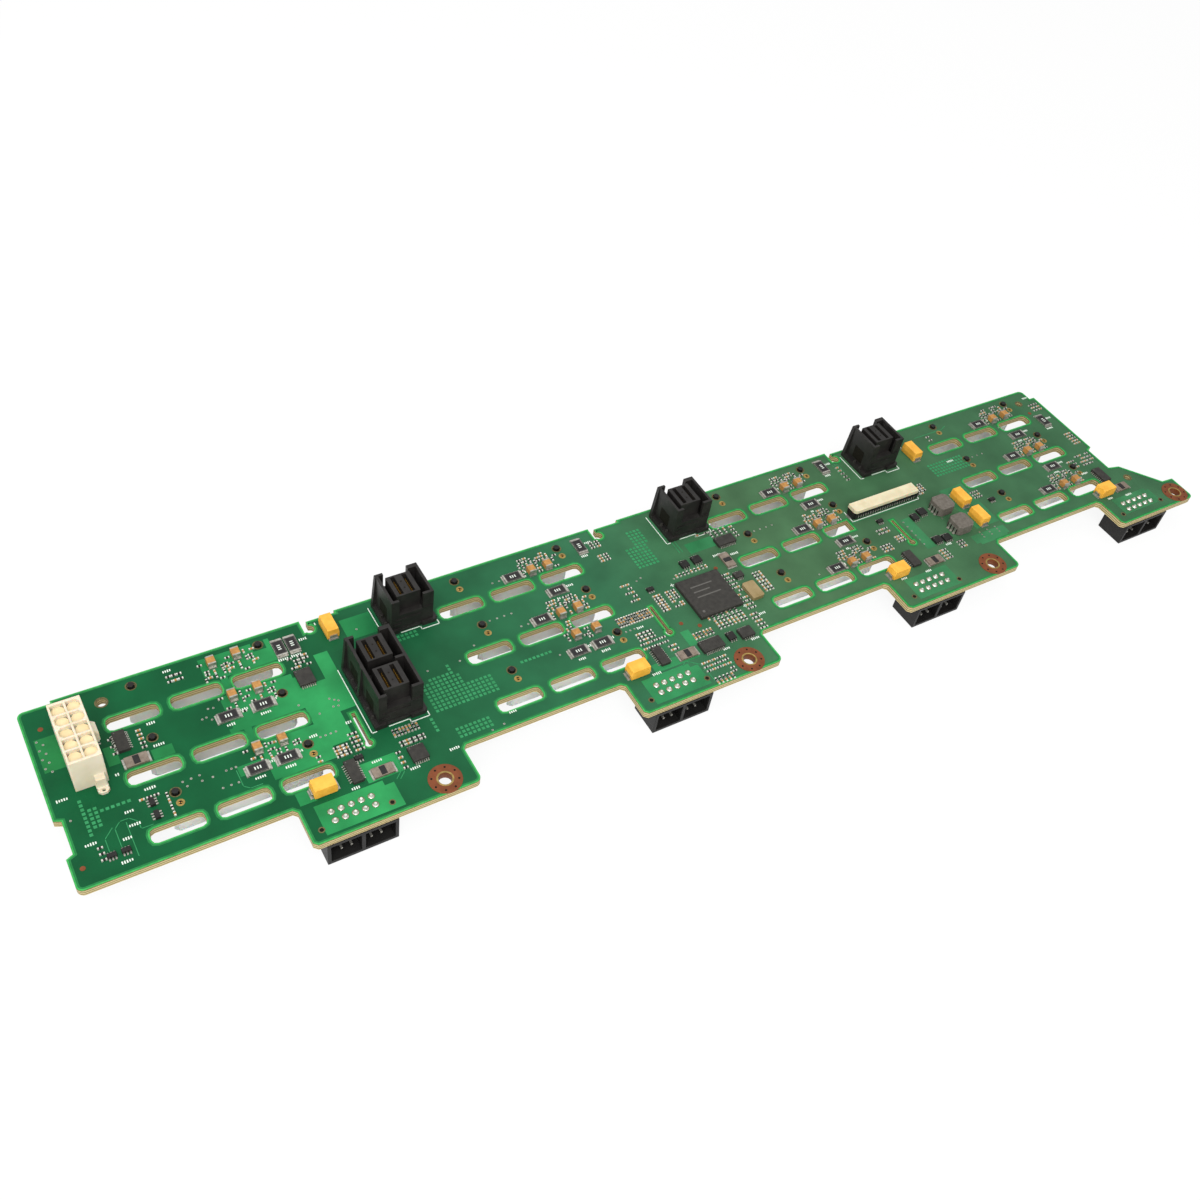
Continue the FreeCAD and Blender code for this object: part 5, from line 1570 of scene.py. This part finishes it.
    def eye_dressing(self) -> None:
        """Ring each screw eye with its via dots and a dull gold land."""
        dots = Draft("eye_via_dots", BORE, "plated_copper")
        land = Draft("eye_lands", EYELET, "tinned_contact")
        for number in range(1, 5):
            low, high = self.board.box("screw_eye_%d" % number)
            x, y = (low.x + high.x) / 2, (low.y + high.y) / 2
            land.ring(x, y, 2.6, 2.06, high.z - 0.01, high.z + 0.04, 32)
            for turn in range(8):
                angle = math.pi * (turn + 0.5) / 4
                dots.disc(x + 4.0 * math.cos(angle), y + 4.0 * math.sin(angle), 0.34,
                          high.z - 0.01, high.z + 0.02, 10)
        dots.make(self.board)
        land.make(self.board)


# ------------------------------------------------------------------ solids and studio
@dataclass
class SolidDressing:
    """Finishes and softened edges for the pieces that come as solids."""

    finishes: tuple[tuple[str, Finish, float], ...] = (
        ("circuit_board", BOARD, 0.0), ("screw_eye", COPPER, 0.04),
        ("drive_receptacle", NATURAL, 0.12), ("power_socket_pins", TIN, 0.06),
        ("power_socket", PBT, 0.15), ("power_header_pins", TIN, 0.1),
        ("power_header", NYLON, 0.22), ("cable_port", LCP, 0.16),
        ("ribbon_connector_base", PBT, 0.12), ("ribbon_connector_insulator", NYLON_WARM, 0.15),
        ("controller_chip", EPOXY, 0.08), ("crystal_can", LID, 0.15),
        ("power_coil", FERRITE, 0.2), ("tantalum_capacitor", TANTALUM, 0.16),
        ("tantalum_leads", TIN, 0.08), ("power_switch_chips", EPOXY, 0.08),
        ("logic_chips", EPOXY, 0.08), ("power_transistors", EPOXY_DARK, 0.08),
        ("current_shunts", SHUNT, 0.1), ("bay_resistors", GLAZE, 0.05),
        ("bay_capacitors", CERAMIC, 0.14),
    )

    def build(self) -> None:
        """Give each node its material and a small edge radius."""
        for name, node in sorted(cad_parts.items()):
            finish, radius = next((finish, radius) for start, finish, radius in self.finishes
                                  if name.startswith(start))
            node.data.materials.clear()
            node.data.materials.append(finish.build())
            if radius:
                soften(node, radius)
            log.info("%s: %s", name, finish.name)


@dataclass(frozen=True)
class Lamp:
    """A soft square light over the board, in metres and watts."""

    name: str
    place: tuple[float, float, float]
    size: float
    watts: float

    def hang(self) -> None:
        """Hang the light and turn it to the board's centre."""
        data = bpy.data.lights.new(self.name, "AREA")
        data.size = self.size
        data.energy = self.watts
        lamp = bpy.data.objects.new(self.name, data)
        bpy.context.scene.collection.objects.link(lamp)
        lamp.location = self.place
        lamp.rotation_euler = (-Vector(self.place)).to_track_quat("-Z", "Y").to_euler()


@dataclass
class Studio:
    """Pale floor, soft lights and the camera."""

    camera_place: tuple[float, float, float] = (-0.20993, -0.21864, 0.32118)
    camera_right: tuple[float, float, float] = (0.8574822, -0.4991529, 0.1247823)
    camera_up: tuple[float, float, float] = (0.2983451, 0.6799631, 0.6698063)
    lens_mm: float = 38.360
    sensor_mm: float = 36.0
    floor_colour: str = "#F4F4F3"
    floor_reach: float = 3.0
    floor_glow: float = 0.9
    fill_strength: float = 0.55
    lamps: tuple[Lamp, ...] = (
        Lamp("key_softbox", (-0.33, -0.56, 0.75), 0.7, 9.5),
        Lamp("overhead_softbox", (0.1, 0.35, 0.95), 1.1, 3.0),
        Lamp("left_softbox", (-0.85, 0.15, 0.6), 0.7, 2.0))

    def build(self) -> None:
        """Build the studio round the board."""
        self.floor()
        for lamp in self.lamps:
            lamp.hang()
        self.world()
        self.camera()

    def floor(self) -> None:
        """Lay a plain floor: white to the lens, pale to the light."""
        mesh = bpy.data.meshes.new("floor")
        reach = self.floor_reach
        mesh.from_pydata([(-reach, -reach, 0), (reach, -reach, 0), (reach, reach, 0),
                          (-reach, reach, 0)], [], [(0, 1, 2, 3)])
        floor = bpy.data.objects.new("floor", mesh)
        bpy.context.scene.collection.objects.link(floor)
        material = bpy.data.materials.new("painted_studio_floor")
        material.use_nodes = True
        tree = material.node_tree
        shader = tree.nodes["Principled BSDF"]
        shader.inputs["Base Color"].default_value = linear(self.floor_colour)
        shader.inputs["Roughness"].default_value = 0.9
        path = add_node(tree, "ShaderNodeLightPath")
        seen = add_node(tree, "ShaderNodeMath", {"operation": "MAXIMUM"},
                        {0: path.outputs["Is Camera Ray"], 1: path.outputs["Is Glossy Ray"]})
        seen = add_node(tree, "ShaderNodeMath", {"operation": "MAXIMUM"},
                        {0: seen.outputs[0], 1: path.outputs["Is Transmission Ray"]})
        share = add_node(tree, "ShaderNodeMath", {"operation": "MULTIPLY", 1: self.floor_glow},
                         {0: seen.outputs[0]})
        white = add_node(tree, "ShaderNodeEmission", {1: 1.0})
        mix = add_node(tree, "ShaderNodeMixShader", {},
                       {0: share.outputs[0], 1: shader.outputs[0], 2: white.outputs[0]})
        tree.links.new(mix.outputs[0], tree.nodes["Material Output"].inputs["Surface"])
        mesh.materials.append(material)

    def world(self) -> None:
        """Fill the room with an even white light."""
        world = bpy.data.worlds.new("studio_fill")
        world.use_nodes = True
        back = world.node_tree.nodes["Background"]
        back.inputs[0].default_value = linear("#FFFFFF")
        back.inputs[1].default_value = self.fill_strength
        bpy.context.scene.world = world

    def camera(self) -> None:
        """Set the camera at its place, turned by its right and up directions."""
        data = bpy.data.cameras.new("camera")
        data.lens, data.sensor_width, data.sensor_fit = self.lens_mm, self.sensor_mm, "HORIZONTAL"
        data.clip_start = 0.01
        camera = bpy.data.objects.new("camera", data)
        bpy.context.scene.collection.objects.link(camera)
        right, up = Vector(self.camera_right).normalized(), Vector(self.camera_up).normalized()
        turn = Matrix((right, up, right.cross(up))).transposed()
        camera.matrix_world = Matrix.Translation(self.camera_place) @ turn.to_4x4()
        bpy.context.scene.camera = camera


def main() -> None:
    """Dress the solids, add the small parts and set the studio."""
    logging.basicConfig(level=logging.INFO, format="%(name)s %(message)s")
    board = BoardPlace()
    for group in (SolidDressing(), BoardPrint(board), SmallParts(board), LeadedParts(board),
                  Contacts(board), Studio()):
        group.build()
    bpy.context.scene.view_settings.view_transform = "Standard"


if __name__ == "__main__":
    main()
